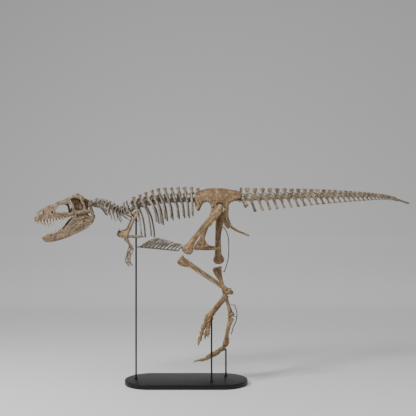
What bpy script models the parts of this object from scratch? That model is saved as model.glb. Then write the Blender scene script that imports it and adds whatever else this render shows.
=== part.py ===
"""Life-size mounted skeleton of a slender, two-fingered tyrannosaur on a black museum stand.

Frame: metres, +Z up, origin at the middle of the stand's underside, +X towards the tail,
-Y the animal's left side.  Every bone is a closed skin over a few oval or square sections, and
bones that grow from one another are united into one solid.
"""
import math

import bmesh
import bpy
from mathutils import Matrix, Vector

# ---- stand -------------------------------------------------------------------------------
BASE_LENGTH = 1.81
BASE_WIDTH = 0.77
BASE_THICKNESS = 0.07
BASE_CORNER_STEPS = 10
ROD_RADIUS = 0.0125
ROD_SIDES = 8
FRONT_ROD = (-0.743, 0.0, 2.548)
LEFT_ROD = (0.372, -0.186, 1.000)
RIGHT_ROD = (0.592, 0.179, 0.474)
GAP = 0.0006

# ---- backbone ----------------------------------------------------------------------------
OCCIPUT = (-1.356, -0.200, 2.622)
NECK_POINTS = ((-1.290, -0.170, 2.658), (-1.212, -0.130, 2.648), (-1.120, -0.080, 2.609),
               (-1.054, -0.040, 2.562), (-0.999, -0.015, 2.530))
BACK_POINTS = ((-0.943, 0.0, 2.522), (-0.862, 0.0, 2.551), (-0.780, 0.0, 2.588), (-0.588, 0.0, 2.655),
               (-0.396, 0.0, 2.687), (-0.107, 0.0, 2.706), (0.222, 0.0, 2.719))
SACRUM_POINTS = ((0.222, 0.0, 2.719), (0.500, 0.0, 2.727), (0.772, 0.0, 2.734))
TAIL_POINTS = ((0.772, 0.0, 2.734), (1.500, 0.050, 2.766), (2.167, 0.200, 2.800),
               (2.855, 0.450, 2.828), (3.256, 0.650, 2.824), (3.625, 0.850, 2.757))
CERVICALS = 9
DORSALS = 13
NECK_ONLY_DORSALS = 2
CAUDALS = 38
TAIL_PARTS = (8, 16, 26, 38)
TAIL_SHORTENING = 0.62
SPINE_TOPS = ((-0.790, 0.0, 2.758), (-0.618, 0.0, 2.824), (-0.430, 0.0, 2.881), (-0.237, 0.0, 2.898),
              (0.063, 0.0, 2.900), (0.166, 0.0, 2.884))
JOINT_GAP = 0.005

# ---- trunk -------------------------------------------------------------------------------
RIB_TIPS = ((-0.635, 0.230, 2.172), (-0.492, 0.220, 2.168), (-0.423, 0.175, 2.379),
            (-0.354, 0.175, 2.356), (-0.295, 0.190, 2.418), (-0.209, 0.190, 2.432),
            (-0.114, 0.185, 2.447), (-0.032, 0.180, 2.461), (0.036, 0.170, 2.461),
            (0.094, 0.160, 2.490))
RIB_WIDTH = 0.0115
RIB_DEPTH = 0.0075
RIB_START_HEIGHT = 0.100
CUT_WIDTH = 0.0012
BELLY_FRONT = (-0.690, 2.022)
BELLY_REAR = (-0.129, 1.968)
BELLY_ROWS = 8
BELLY_ROD_RADIUS = 0.0055

# ---- skull, in its own frame: origin at the jaw joint, x forward, y left, z up -------------
JAW_JOINT = (-1.377, -0.200, 2.457)
SKULL_YAW = math.radians(210)
SKULL_PITCH = math.radians(10)
MANDIBLE_PITCH = math.radians(24)
UPPER_TEETH = 7
LOWER_TEETH = 5

# ---- legs: hip, knee, ankle and ball of the foot -------------------------------------------
LEFT = -1
RIGHT = 1
SIDE_NAME = {LEFT: "left", RIGHT: "right"}
HIP = {LEFT: (0.488, -0.180, 2.563), RIGHT: (0.488, 0.180, 2.563)}
KNEE = {LEFT: (-0.009, -0.190, 1.950), RIGHT: (0.474, 0.190, 1.786)}
SHIN_TOP = {LEFT: (-0.084, -0.190, 1.846), RIGHT: (0.462, 0.190, 1.712)}
ANKLE = {LEFT: (0.617, -0.186, 1.372), RIGHT: (0.668, 0.185, 0.998)}
FOOT_TOP = {LEFT: (0.577, -0.186, 1.312), RIGHT: (0.668, 0.185, 0.944)}
BALL = {LEFT: (0.302, -0.186, 0.990), RIGHT: (0.574, 0.179, 0.528)}
SHIN_BOW = {LEFT: 0.018, RIGHT: 0.003}

# ---- colours -------------------------------------------------------------------------------
FOSSIL = (0.42, 0.30, 0.18, 1.0)
PALE_FOSSIL = (0.47, 0.38, 0.27, 1.0)
GREY_FOSSIL = (0.30, 0.26, 0.20, 1.0)
BLACK_STEEL = (0.015, 0.015, 0.016, 1.0)


# ---- scene and materials -------------------------------------------------------------------
def clear_scene():
    for item in list(bpy.data.objects):
        bpy.data.objects.remove(item, do_unlink=True)


def collection(name):
    group = bpy.data.collections.new(name)
    bpy.context.scene.collection.children.link(group)
    return group


def principled(name, colour, roughness, metallic):
    material = bpy.data.materials.new(name)
    material.use_nodes = True
    shader = material.node_tree.nodes["Principled BSDF"]
    shader.inputs["Base Color"].default_value = colour
    shader.inputs["Roughness"].default_value = roughness
    shader.inputs["Metallic"].default_value = metallic
    return material


# ---- closed skins over sections ------------------------------------------------------------
def skin(rings, name="piece"):
    """A closed mesh over rings of equal point count, capped at both ends."""
    count = len(rings[0])
    mesh = bmesh.new()
    points = [[mesh.verts.new(point) for point in ring] for ring in rings]
    for low, high in zip(points, points[1:]):
        for i in range(count):
            j = (i + 1) % count
            mesh.faces.new((low[i], low[j], high[j], high[i]))
    mesh.faces.new(points[0])
    mesh.faces.new(points[-1])
    bmesh.ops.recalc_face_normals(mesh, faces=mesh.faces)
    data = bpy.data.meshes.new(name)
    mesh.to_mesh(data)
    mesh.free()
    return data


def section(centre, across, along, half_across, half_along, sides):
    """Points of an oval section, or of a rectangle where it has four sides."""
    start = math.pi / 4 if sides == 4 else 0.0
    reach = math.sqrt(2) if sides == 4 else 1.0
    ring = []
    for i in range(sides):
        turn = start + 2 * math.pi * i / sides
        ring.append(centre + across * (half_across * reach * math.cos(turn))
                    + along * (half_along * reach * math.sin(turn)))
    return ring


def loft(stations, sides=6, across=(0, 1, 0)):
    """Skin over stations (x, y, z, half size towards across, half size the other way)."""
    centres = [Vector(station[:3]) for station in stations]
    rings = []
    for i, station in enumerate(stations):
        run = (centres[min(i + 1, len(centres) - 1)] - centres[max(i - 1, 0)]).normalized()
        wide = Vector(across) - run * run.dot(Vector(across))
        wide.normalize()
        rings.append(section(centres[i], wide, run.cross(wide), station[3], station[4], sides))
    return skin(rings)


def plate(outline, half_thickness):
    """A flat outline in the X-Z plane with its thickness along Y, as a filled curve made a mesh."""
    curve = bpy.data.curves.new("outline", "CURVE")
    curve.dimensions = "2D"
    curve.fill_mode = "BOTH"
    curve.extrude = half_thickness
    line = curve.splines.new("POLY")
    line.points.add(len(outline) - 1)
    for point, (x, z) in zip(line.points, outline):
        point.co = (x, z, 0, 1)
    line.use_cyclic_u = True
    holder = bpy.data.objects.new("outline", curve)
    bpy.context.scene.collection.objects.link(holder)
    evaluated = holder.evaluated_get(bpy.context.evaluated_depsgraph_get())
    data = bpy.data.meshes.new_from_object(evaluated)
    bpy.data.objects.remove(holder, do_unlink=True)
    mesh = bmesh.new()
    mesh.from_mesh(data)
    bmesh.ops.remove_doubles(mesh, verts=mesh.verts, dist=0.0001)
    bmesh.ops.transform(mesh, matrix=Matrix.Rotation(math.pi / 2, 4, "X"), verts=mesh.verts)
    bmesh.ops.recalc_face_normals(mesh, faces=mesh.faces)
    mesh.to_mesh(data)
    mesh.free()
    return data


def moved(data, matrix):
    data.transform(matrix)
    return data


def lean(data, middle, height, slope):
    """Shift a plate to y = middle and lean it by slope for each metre above height."""
    for vertex in data.vertices:
        vertex.co.y += middle + slope * (vertex.co.z - height)
    return data


def unite(name, pieces, target, colour, roughness=0.6, metallic=0.0, cutters=(), keep=None):
    """Unite closed pieces into one named solid, after which cutters are taken away from it."""
    first = bpy.data.objects.new(name, pieces[0])
    target.objects.link(first)
    steps = [("UNION", pieces[1:]), ("DIFFERENCE", list(cutters)), ("INTERSECT", keep or [])]
    helpers = []
    for operation, operands in steps:
        if not operands:
            continue
        group = collection(f"{name}_{operation.lower()}")
        for operand in operands:
            helper = bpy.data.objects.new(f"{name}_operand", operand)
            group.objects.link(helper)
            helpers.append((helper, group))
        cut = first.modifiers.new(operation.lower(), "BOOLEAN")
        cut.operation = operation
        cut.solver = "EXACT"
        cut.operand_type = "COLLECTION"
        cut.collection = group
    finished = bpy.data.meshes.new_from_object(first.evaluated_get(bpy.context.evaluated_depsgraph_get()))
    first.modifiers.clear()
    first.data = finished
    for helper, _ in helpers:
        bpy.data.objects.remove(helper, do_unlink=True)
    for group in {group for _, group in helpers}:
        bpy.data.collections.remove(group)
    finished.name = name
    finished.materials.clear()
    finished.materials.append(principled(name, colour, roughness, metallic))
    finished.set_sharp_from_angle(angle=math.radians(40))
    return first


# ---- paths and frames ----------------------------------------------------------------------
class Path:
    """A smooth line through points, measured by its length."""

    STEPS = 24

    def __init__(self, points):
        knots = [Vector(point) for point in points]
        knots = [2 * knots[0] - knots[1]] + knots + [2 * knots[-1] - knots[-2]]
        self.line = []
        for a, b, c, d in zip(knots, knots[1:], knots[2:], knots[3:]):
            for step in range(self.STEPS):
                t = step / self.STEPS
                self.line.append(0.5 * (2 * b + (c - a) * t + (2 * a - 5 * b + 4 * c - d) * t ** 2
                                        + (3 * b - a - 3 * c + d) * t ** 3))
        self.line.append(knots[-2])
        self.reach = [0.0]
        for a, b in zip(self.line, self.line[1:]):
            self.reach.append(self.reach[-1] + (b - a).length)
        self.length = self.reach[-1]

    def at(self, distance):
        distance = min(max(distance, 0.0), self.length)
        i = next(k for k in range(1, len(self.reach)) if self.reach[k] >= distance - 1e-9)
        share = (distance - self.reach[i - 1]) / (self.reach[i] - self.reach[i - 1])
        return self.line[i - 1].lerp(self.line[i], share)

    def frame(self, distance):
        """Local axes at a distance: X along the path, Y level to the right side, Z up from it."""
        ahead = (self.at(distance + 0.02) - self.at(distance - 0.02)).normalized()
        right = Vector((0, 0, 1)).cross(ahead).normalized()
        up = ahead.cross(right)
        matrix = Matrix((ahead, right, up)).transposed().to_4x4()
        matrix.translation = self.at(distance)
        return matrix


def bone_frame(top, bottom):
    """Origin at a bone's top end, Z up along it, X to its rear and Y to the right side."""
    up = (Vector(top) - Vector(bottom)).normalized()
    rear = Vector((1, 0, 0))
    rear = (rear - up * up.dot(rear)).normalized()
    matrix = Matrix((rear, up.cross(rear), up)).transposed().to_4x4()
    matrix.translation = Vector(top)
    return matrix


def ball(centre, radius, stretch=(1, 1, 1)):
    """A coarse rounded knob."""
    mesh = bmesh.new()
    bmesh.ops.create_icosphere(mesh, subdivisions=1, radius=radius)
    bmesh.ops.scale(mesh, vec=stretch, verts=mesh.verts)
    bmesh.ops.translate(mesh, vec=centre, verts=mesh.verts)
    data = bpy.data.meshes.new("knob")
    mesh.to_mesh(data)
    mesh.free()
    return data


# ---- stand ---------------------------------------------------------------------------------
def stand_base(target):
    """The flat black base with round ends."""
    radius = BASE_WIDTH / 2
    straight = BASE_LENGTH / 2 - radius
    outline = []
    for end, start in ((straight, -math.pi / 2), (-straight, math.pi / 2)):
        for step in range(BASE_CORNER_STEPS + 1):
            turn = start + math.pi * step / BASE_CORNER_STEPS
            outline.append((end + radius * math.cos(turn), radius * math.sin(turn)))
    slab = plate(outline, BASE_THICKNESS / 2)
    slab.transform(Matrix.Rotation(-math.pi / 2, 4, "X"))
    slab.transform(Matrix.Translation((0, 0, BASE_THICKNESS / 2)))
    unite("stand_base", [slab], target, BLACK_STEEL, 0.35, 0.6)


def rod(name, foot, top, radius, target):
    """A straight round steel rod."""
    line = Vector(top) - Vector(foot)
    bar = bmesh.new()
    bmesh.ops.create_cone(bar, cap_ends=True, segments=ROD_SIDES, radius1=radius, radius2=radius,
                          depth=line.length)
    data = bpy.data.meshes.new(name)
    bar.to_mesh(data)
    bar.free()
    turn = Vector((0, 0, 1)).rotation_difference(line).to_matrix().to_4x4()
    data.transform(Matrix.Translation((Vector(foot) + Vector(top)) / 2) @ turn)
    unite(name, [data], target, BLACK_STEEL, 0.35, 0.8)


def stand(target):
    stand_base(target)
    for name, (x, y, top) in (("stand_rod_front", FRONT_ROD), ("stand_rod_left", LEFT_ROD),
                              ("stand_rod_right", RIGHT_ROD)):
        rod(name, (x, y, BASE_THICKNESS + GAP), (x, y, top), ROD_RADIUS, target)
    strips = {
        "stand_brace_thigh": ((0.556, 0.190, 2.330), (0.608, 0.190, 2.235), (0.633, 0.190, 2.120),
                              (0.633, 0.190, 1.900), (0.610, 0.190, 1.770), (0.566, 0.190, 1.640)),
        "stand_brace_shin": ((0.722, 0.185, 1.150), (0.752, 0.185, 1.060), (0.760, 0.185, 0.985),
                             (0.744, 0.185, 0.900), (0.702, 0.185, 0.800), (0.676, 0.185, 0.700)),
    }
    for name, line in strips.items():
        unite(name, [loft([point + (0.010, 0.003) for point in line], 4)], target, BLACK_STEEL, 0.35, 0.8)


# ---- backbone ------------------------------------------------------------------------------
def centrum_column(path, joints, radii):
    """The row of bodies of the vertebrae, as one rounded bar."""
    rings = list(zip(joints, radii))
    return loft([(*path.at(place), size, size) for place, size in rings[:-1:2] + rings[-1:]], 6)


def winged_column(path, joints, radii):
    """A row of neck vertebrae: slim at each joint and twice as wide across the side processes."""
    stations = []
    for i, (start, end) in enumerate(zip(joints, joints[1:])):
        reach = radii[i] * 2.1
        stations.append((*path.at(start), radii[i] * 1.1, radii[i]))
        stations.append((*path.at(start * 0.62 + end * 0.38), reach, radii[i]))
    stations.append((*path.at(joints[-1]), radii[-1] * 1.1, radii[-1]))
    return loft(stations, 5)


def neural_spine(frame, top, half_length, half_width, lean_back=0.0):
    """The blade above a vertebra, from inside its body to its top."""
    stations = [(0, 0, 0, half_width, half_length * 0.8), (lean_back, 0, top, half_width * 1.3, half_length)]
    return moved(loft(stations, 4), frame)


def cross_bar(frame, reach, height, half_length, half_thickness):
    """The pair of side processes of a vertebra, as one bar through it."""
    stations = [(0, side * reach, height, half_length, half_thickness) for side in (LEFT, RIGHT)]
    return moved(loft(stations, 4, across=(1, 0, 0)), frame)


def cervical_rib(frame, side, length, low, out):
    """A thin neck rib that runs back and down beside the vertebrae."""
    stations = [(-0.006, side * out * 0.70, 0.0, 0.008, 0.014), (length, side * out, -low, 0.004, 0.005)]
    return moved(loft(stations, 3), frame)


def neck(target):
    """Nine neck vertebrae and the first two of the back, in two lengths."""
    path = Path((OCCIPUT,) + NECK_POINTS + BACK_POINTS)
    back_start = min(range(len(path.line)), key=lambda k: (path.line[k] - Vector(BACK_POINTS[2])).length)
    end = path.reach[back_start] - 0.045
    count = CERVICALS + NECK_ONLY_DORSALS
    joints = [end * i / count for i in range(count + 1)]
    radii = [0.027 + 0.0016 * i for i in range(count + 1)]
    split = 5
    for name, first, last in (("neck_front", 0, split), ("neck_rear", split, count)):
        ends = list(joints[first:last + 1])
        ends[-1] -= JOINT_GAP
        pieces = [winged_column(path, ends, radii[first:last + 1])]
        for i in range(first, last):
            middle = path.frame((joints[i] + joints[i + 1]) / 2)
            top = 0.048 + 0.0062 * i + (0.035 if i >= CERVICALS else 0.0)
            pieces.append(neural_spine(middle, top, 0.014, 0.010, 0.004 + 0.02 * (i // CERVICALS)))
            length = 0.030 if i in (split - 1, count - 1) else 0.085
            low = 0.105 if i < CERVICALS else 0.20
            for side in (LEFT, RIGHT):
                pieces.append(cervical_rib(middle, side, length, low, 0.055 + 0.003 * i))
        unite(name, pieces, target, GREY_FOSSIL)


def rib_line(root, tip, side):
    """Sections of a side process and its rib: from the middle out, round and down to the tip."""
    drop = root.z + RIB_START_HEIGHT - tip.z
    course = ((0.00, 0.00, 0.03), (0.15, 0.44, 0.00), (0.36, 0.78, 0.14), (0.74, 0.98, 0.44),
              (0.93, 1.03, 0.76), (1.00, 1.00, 1.00))
    stations = []
    for step, (along, spread, down) in enumerate(course):
        thin = 1.45 - 0.13 * step
        stations.append((root.x + (tip.x - root.x) * along, side * tip.y * spread,
                         root.z + RIB_START_HEIGHT - drop * down, RIB_WIDTH * thin, RIB_DEPTH * thin))
    return stations


def rib_cage(target):
    """Eleven back vertebrae with ten pairs of ribs, parted along the middle."""
    path = Path(BACK_POINTS)
    tops = Path(SPINE_TOPS)
    start = 0.140
    end = path.length - JOINT_GAP
    count = DORSALS - NECK_ONLY_DORSALS
    joints = [start + (end - start) * i / count for i in range(count + 1)]
    radii = [0.040 + 0.0004 * i for i in range(count + 1)]
    for side in (LEFT, RIGHT):
        pieces = [centrum_column(path, joints, radii)]
        for i in range(count):
            root = path.at((joints[i] + joints[i + 1]) / 2)
            top = tops.at(tops.length * i / (count - 1))
            pieces.append(loft([(*root, 0.011, 0.022), (*top, 0.010, 0.027)], 4))
            if i < len(RIB_TIPS):
                pieces.append(loft(rib_line(root, Vector(RIB_TIPS[i]), side), 3, across=(1, 0, 0)))
            else:
                pieces.append(cross_bar(Matrix.Translation(root), 0.060, RIB_START_HEIGHT, 0.020, 0.008))
        half = bmesh.new()
        bmesh.ops.create_cube(half, size=2.0)
        bmesh.ops.translate(half, vec=(0, side * (1.0 + CUT_WIDTH / 2), 2.6), verts=half.verts)
        box = bpy.data.meshes.new("half")
        half.to_mesh(box)
        half.free()
        unite(f"rib_cage_{SIDE_NAME[side]}", pieces, target, GREY_FOSSIL, keep=[box])


SACRAL_PLATE = ((0.226, 2.700), (0.226, 2.868), (0.500, 2.880), (0.762, 2.862), (0.762, 2.715))


def sacrum(target):
    """Five fused vertebrae between the hip blades, their spines joined in one plate."""
    path = Path(SACRUM_POINTS)
    ends = (JOINT_GAP, path.length - JOINT_GAP)
    joints = [ends[0] + (ends[1] - ends[0]) * i / 5 for i in range(6)]
    pieces = [centrum_column(path, joints[::5], [0.042] * 2), plate(SACRAL_PLATE, 0.011)]
    for i in (0, 2, 4):
        frame = path.frame((joints[i] + joints[i + 1]) / 2)
        pieces.append(cross_bar(frame, 0.074, 0.025, 0.036, 0.020))
    unite("sacrum", pieces, target, PALE_FOSSIL)


def tail_joints(path):
    """Distances of the tail's joints: the vertebrae shorten towards the tip."""
    sizes = [1.0 - TAIL_SHORTENING * (i / CAUDALS) ** 1.1 for i in range(CAUDALS)]
    usable = path.length - JOINT_GAP
    joints = [JOINT_GAP]
    for size in sizes:
        joints.append(joints[-1] + size * usable / sum(sizes))
    return joints


def chevron(frame, drop, radius, back):
    """The Y-shaped bone hung under a tail joint."""
    stations = [(0, 0, -radius * 0.4, 0.010, 0.009), (back, 0, -radius - drop, 0.005, 0.012)]
    return moved(loft(stations, 4), frame)


def tail(target):
    """Thirty-eight tail vertebrae with spines, side processes and chevrons, in four lengths."""
    path = Path(TAIL_POINTS)
    joints = tail_joints(path)
    radius = [0.042 * (1 - i / (CAUDALS + 2)) ** 0.85 + 0.004 for i in range(CAUDALS + 1)]
    first = 0
    for number, last in enumerate(TAIL_PARTS, start=1):
        ends = list(joints[first:last + 1])
        ends[-1] -= JOINT_GAP
        pieces = [centrum_column(path, ends, radius[first:last + 1])]
        for i in range(first, last):
            share = i / CAUDALS
            frame = path.frame((joints[i] + joints[i + 1]) / 2)
            size = joints[i + 1] - joints[i]
            top = 0.158 * (1 - share) ** 1.25
            if i < 23:
                pieces.append(neural_spine(frame, top, size * 0.27, 0.008 * (1 - share) + 0.002, size * 0.12))
            if i < 14:
                pieces.append(cross_bar(frame, 0.135 * (1 - i / 17), 0.012, 0.016, 0.007))
            if 1 <= i < 19:
                lower = path.frame(joints[i] + 0.12 * size)
                drop = 0.155 * (1 - share) ** 2.3 if i > 1 else 0.060
                pieces.append(chevron(lower, drop, radius[i], 0.045 * (1 - share) + 0.004))
        unite(f"tail_{number}", pieces, target, PALE_FOSSIL)
        first = last


# ---- belly and shoulders -------------------------------------------------------------------
def gastralia(target):
    """Rows of thin belly rods, each a wide V swept back, whose middles reach to the next row."""
    front = Vector((BELLY_FRONT[0], 0, BELLY_FRONT[1]))
    rear = Vector((BELLY_REAR[0], 0, BELLY_REAR[1]))
    step = (rear.x - front.x) / (BELLY_ROWS - 1)
    thick = BELLY_ROD_RADIUS
    pieces = []
    for i in range(BELLY_ROWS):
        share = i / (BELLY_ROWS - 1)
        root = front.lerp(rear, share)
        reach = 0.205 * (1 - 0.45 * share)
        rise = 0.130 * (1 - 0.50 * share)
        run = 0.150 - 0.07 * share
        wings = []
        for side in (LEFT, RIGHT):
            wings.append([(root.x + run, side * reach, root.z + rise, 0.002, 0.002),
                          (root.x + run * 0.45, side * reach * 0.60, root.z + rise * 0.42, thick, thick)])
        stations = wings[0] + [(root.x, 0, root.z, thick, thick * 1.3)] + wings[1][::-1]
        pieces.append(loft(stations, 3, across=(0, 0, 1)))
        if i < BELLY_ROWS - 1:
            ahead = root + Vector((step, 0, 0))
            pieces.append(loft([(*root, thick, thick), (*ahead, thick, thick)], 4))
    unite("gastralia", pieces, target, GREY_FOSSIL)


def sternal_plates(target):
    """The pair of thin breast plates, one each side of the front rod."""
    for side in (LEFT, RIGHT):
        stations = [(-0.955, side * 0.050, 2.168, 0.026, 0.007), (-0.800, side * 0.062, 2.163, 0.040, 0.009),
                    (-0.640, side * 0.056, 2.160, 0.024, 0.006)]
        unite(f"sternal_plate_{SIDE_NAME[side]}", [loft(stations, 4)], target, GREY_FOSSIL)


SHOULDER_SHIFT = {LEFT: Vector((0, 0, 0)), RIGHT: Vector((-0.092, 0, 0.030))}


def shoulder_point(side, x, y, z):
    """A point of a shoulder or arm, given on the left side; the right arm hangs further forward."""
    return Vector((x, -side * y, z)) + SHOULDER_SHIFT[side]


def shoulder(target, side):
    """Shoulder blade with the coracoid plate at its lower end."""
    def at(x, y, z, across, along):
        return (*shoulder_point(side, x, y, z), across, along)

    blade = loft([at(-0.700, -0.240, 2.520, 0.006, 0.030), at(-0.735, -0.254, 2.440, 0.006, 0.020),
                  at(-0.785, -0.254, 2.330, 0.007, 0.019), at(-0.828, -0.242, 2.235, 0.010, 0.030),
                  at(-0.868, -0.220, 2.180, 0.015, 0.046)], 4)
    coracoid = loft([at(-0.848, -0.218, 2.205, 0.013, 0.030), at(-0.888, -0.192, 2.190, 0.012, 0.055),
                     at(-0.930, -0.158, 2.187, 0.010, 0.050), at(-0.957, -0.128, 2.192, 0.006, 0.026)], 4,
                    across=(0.5, side * 1.0, 0))
    unite(f"scapula_{SIDE_NAME[side]}", [blade, coracoid], target, FOSSIL)


def furcula(target):
    """The wishbone across the front of the chest."""
    left = shoulder_point(LEFT, -0.925, -0.165, 2.250)
    right = shoulder_point(RIGHT, -0.925, -0.165, 2.262)
    stations = [(*left, 0.006, 0.009), (left.x - 0.045, left.y * 0.55, left.z - 0.045, 0.007, 0.010),
                (left.x - 0.085, 0.0, left.z - 0.065, 0.008, 0.014),
                (right.x - 0.010, right.y * 0.55, right.z - 0.055, 0.007, 0.010), (*right, 0.006, 0.009)]
    unite("furcula", [loft(stations, 4, across=(0, 0, 1))], target, GREY_FOSSIL)


def arm(target, side):
    """Upper arm, forearm and the two-fingered hand."""
    word = SIDE_NAME[side]
    elbow = shoulder_point(side, -0.768, -0.200, 1.998)
    socket = shoulder_point(side, -0.846, -0.222, 2.140)
    wrist = shoulder_point(side, -0.800, -0.195, 1.905)
    frame = bone_frame(socket, elbow)
    length = (socket - elbow).length
    humerus = [(0, 0, 0, 0.026, 0.018), (-0.006, 0, -0.2 * length, 0.022, 0.026),
               (0, 0, -0.5 * length, 0.013, 0.014), (0, 0, -0.85 * length, 0.016, 0.015),
               (0, 0, -length, 0.020, 0.014)]
    unite(f"humerus_{word}", [moved(loft(humerus, 6), frame)], target, FOSSIL)

    frame = bone_frame(elbow, wrist)
    reach = (elbow - wrist).length - 0.004
    pieces = []
    for offset, thick in ((-0.009, 0.0075), (0.010, 0.009)):
        pieces.append(moved(loft([(offset, 0, -0.012, thick * 1.3, thick * 1.5),
                                  (offset * 1.2, 0, -0.5 * reach, thick, thick),
                                  (offset, 0, -reach, thick * 1.4, thick * 1.4)], 5), frame))
    unite(f"forearm_{word}", pieces, target, GREY_FOSSIL)

    knuckle = wrist + Vector((-0.012, 0, -0.010))
    pieces = [ball(knuckle, 0.019, (1.1, 1.2, 0.9))]
    for spread, lean_back, size in ((-0.016, 0.0, 1.0), (0.016, 0.045, 0.9)):
        joints = ((0.0, -0.006), (0.000, -0.055), (-0.006, -0.110), (0.016, -0.160 * size))
        widths = (0.009, 0.007, 0.0085, 0.0015)
        stations = []
        for (x, z), width in zip(joints, widths):
            stations.append((knuckle.x + x + lean_back * (-z / 0.16), knuckle.y + spread * (1 - 3 * z),
                             knuckle.z + z, width, width))
        pieces.append(loft(stations, 4))
    unite(f"hand_{word}", pieces, target, PALE_FOSSIL)


# ---- pelvis --------------------------------------------------------------------------------
ILIUM_OUTLINE = ((0.128, 2.640), (0.131, 2.800), (0.180, 2.838), (0.260, 2.862), (0.330, 2.880),
                 (0.420, 2.886), (0.520, 2.880), (0.640, 2.858), (0.740, 2.830), (0.764, 2.790),
                 (0.775, 2.722),
                 (0.700, 2.700), (0.655, 2.676), (0.628, 2.640), (0.622, 2.590), (0.570, 2.586),
                 (0.562, 2.632), (0.530, 2.655), (0.490, 2.662), (0.452, 2.648), (0.430, 2.618),
                 (0.424, 2.584), (0.374, 2.584), (0.362, 2.640), (0.330, 2.686), (0.292, 2.690),
                 (0.245, 2.668), (0.212, 2.610), (0.190, 2.566), (0.168, 2.560))
BOOT_OUTLINE = ((0.093, 2.030), (0.100, 1.985), (0.140, 1.966), (0.300, 1.964), (0.420, 1.970),
                (0.510, 1.998), (0.510, 2.016), (0.430, 2.030), (0.345, 2.048), (0.295, 2.090),
                (0.272, 2.150), (0.190, 2.150), (0.150, 2.090))


def pelvis(target):
    """Hip blades, the pubes with their joined boot, and the two ischia."""
    for side in (LEFT, RIGHT):
        word = SIDE_NAME[side]
        blade = lean(plate(ILIUM_OUTLINE, 0.012), side * 0.125, 2.600, -side * 0.215)
        unite(f"ilium_{word}", [blade], target, FOSSIL)

    shafts = []
    for side in (LEFT, RIGHT):
        shafts.append(loft([(0.394, side * 0.120, 2.566, 0.020, 0.026),
                            (0.372, side * 0.105, 2.500, 0.018, 0.030),
                            (0.312, side * 0.060, 2.350, 0.018, 0.036),
                            (0.262, side * 0.030, 2.220, 0.022, 0.040),
                            (0.228, side * 0.018, 2.120, 0.024, 0.046)], 5))
    boot = plate(BOOT_OUTLINE, 0.030)
    unite("pubis", [boot] + shafts, target, FOSSIL)

    for side in (LEFT, RIGHT):
        word = SIDE_NAME[side]
        shaft = loft([(0.598, side * 0.125, 2.582, 0.014, 0.027), (0.594, side * 0.105, 2.484, 0.012, 0.015),
                      (0.612, side * 0.085, 2.391, 0.012, 0.014), (0.659, side * 0.065, 2.316, 0.011, 0.014),
                      (0.743, side * 0.042, 2.260, 0.010, 0.013), (0.837, side * 0.024, 2.223, 0.009, 0.011),
                      (0.931, side * 0.013, 2.181, 0.007, 0.009)], 5)
        outline = ((0.560, 2.500), (0.540, 2.470), (0.572, 2.340), (0.600, 2.290), (0.662, 2.286),
                   (0.655, 2.325), (0.618, 2.385), (0.598, 2.480))
        flange = lean(plate(outline, 0.005), side * 0.085, 2.391, side * 0.16)
        unite(f"ischium_{word}", [shaft, flange], target, FOSSIL)


# ---- legs ----------------------------------------------------------------------------------
def femur(target, side):
    hip, knee = Vector(HIP[side]), Vector(KNEE[side])
    length = (hip - knee).length
    frame = bone_frame(hip, knee)
    shaft = [(0.010, side * 0.020, 0.045, 0.022, 0.035), (-0.002, side * 0.022, -0.020, 0.036, 0.062),
             (-0.010, side * 0.018, -0.22 * length, 0.040, 0.056),
             (-0.016, side * 0.006, -0.50 * length, 0.037, 0.047),
             (-0.010, 0, -0.78 * length, 0.042, 0.050), (0.004, 0, -0.91 * length, 0.066, 0.072),
             (0.004, 0, -0.975 * length, 0.064, 0.078), (0.000, 0, -1.03 * length, 0.044, 0.052)]
    head = [(0.0, side * 0.030, -0.006, 0.040, 0.040), (0.0, -side * 0.045, 0.002, 0.036, 0.036),
            (0.0, -side * 0.088, 0.004, 0.040, 0.040), (0.0, -side * 0.112, 0.004, 0.022, 0.022)]
    crest = [(-0.060, side * 0.034, 0.024, 0.010, 0.016), (-0.058, side * 0.030, -0.050, 0.014, 0.022),
             (-0.040, side * 0.024, -0.150, 0.012, 0.016)]
    pieces = [loft(shaft, 7), loft(head, 6, across=(1, 0, 0)), loft(crest, 4)]
    unite(f"femur_{SIDE_NAME[side]}", [moved(piece, frame) for piece in pieces], target, FOSSIL)


def shin(target, side):
    """Tibia with the crest in front of its top, the thin fibula outside it, and the ankle bones."""
    word = SIDE_NAME[side]
    top, ankle = Vector(SHIN_TOP[side]), Vector(ANKLE[side])
    length = (top - ankle).length
    frame = bone_frame(top, ankle)
    bow = SHIN_BOW[side]
    tibia = [(0.006, 0, 0.000, 0.052, 0.066), (0.006, 0, -0.050, 0.044, 0.058),
             (bow, 0, -0.22 * length, 0.030, 0.034), (bow, 0, -0.55 * length, 0.028, 0.028),
             (bow * 0.8, 0, -0.85 * length, 0.038, 0.028), (bow * 0.3, 0, -0.950 * length, 0.054, 0.038)]
    crest = [(-0.058, side * 0.006, -0.004, 0.014, 0.026), (-0.058, side * 0.006, -0.060, 0.013, 0.026),
             (bow - 0.026, side * 0.004, -0.170, 0.010, 0.016)]
    pieces = [loft(tibia, 8), loft(crest, 6)]
    unite(f"tibia_{word}", [moved(piece, frame) for piece in pieces], target, FOSSIL)

    out = side * 0.078
    fibula = [(0.004, out, -0.018, 0.014, 0.040), (0.004, out * 0.95, -0.090, 0.011, 0.022),
              (bow - 0.006, out * 0.76, -0.35 * length, 0.008, 0.011),
              (bow - 0.008, out * 0.74, -0.70 * length, 0.007, 0.008),
              (bow * 0.4 - 0.008, out * 0.93, -0.938 * length, 0.009, 0.012)]
    unite(f"fibula_{word}", [moved(loft(fibula, 6), frame)], target, FOSSIL)

    roller = [(0.004, -side * 0.060, -length, 0.042, 0.030), (0.004, -side * 0.025, -length, 0.052, 0.036),
              (0.004, side * 0.025, -length, 0.050, 0.036), (0.004, side * 0.074, -length, 0.046, 0.032)]
    unite(f"ankle_{word}", [moved(loft(roller, 8, across=(1, 0, 0)), frame)], target, FOSSIL)


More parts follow.
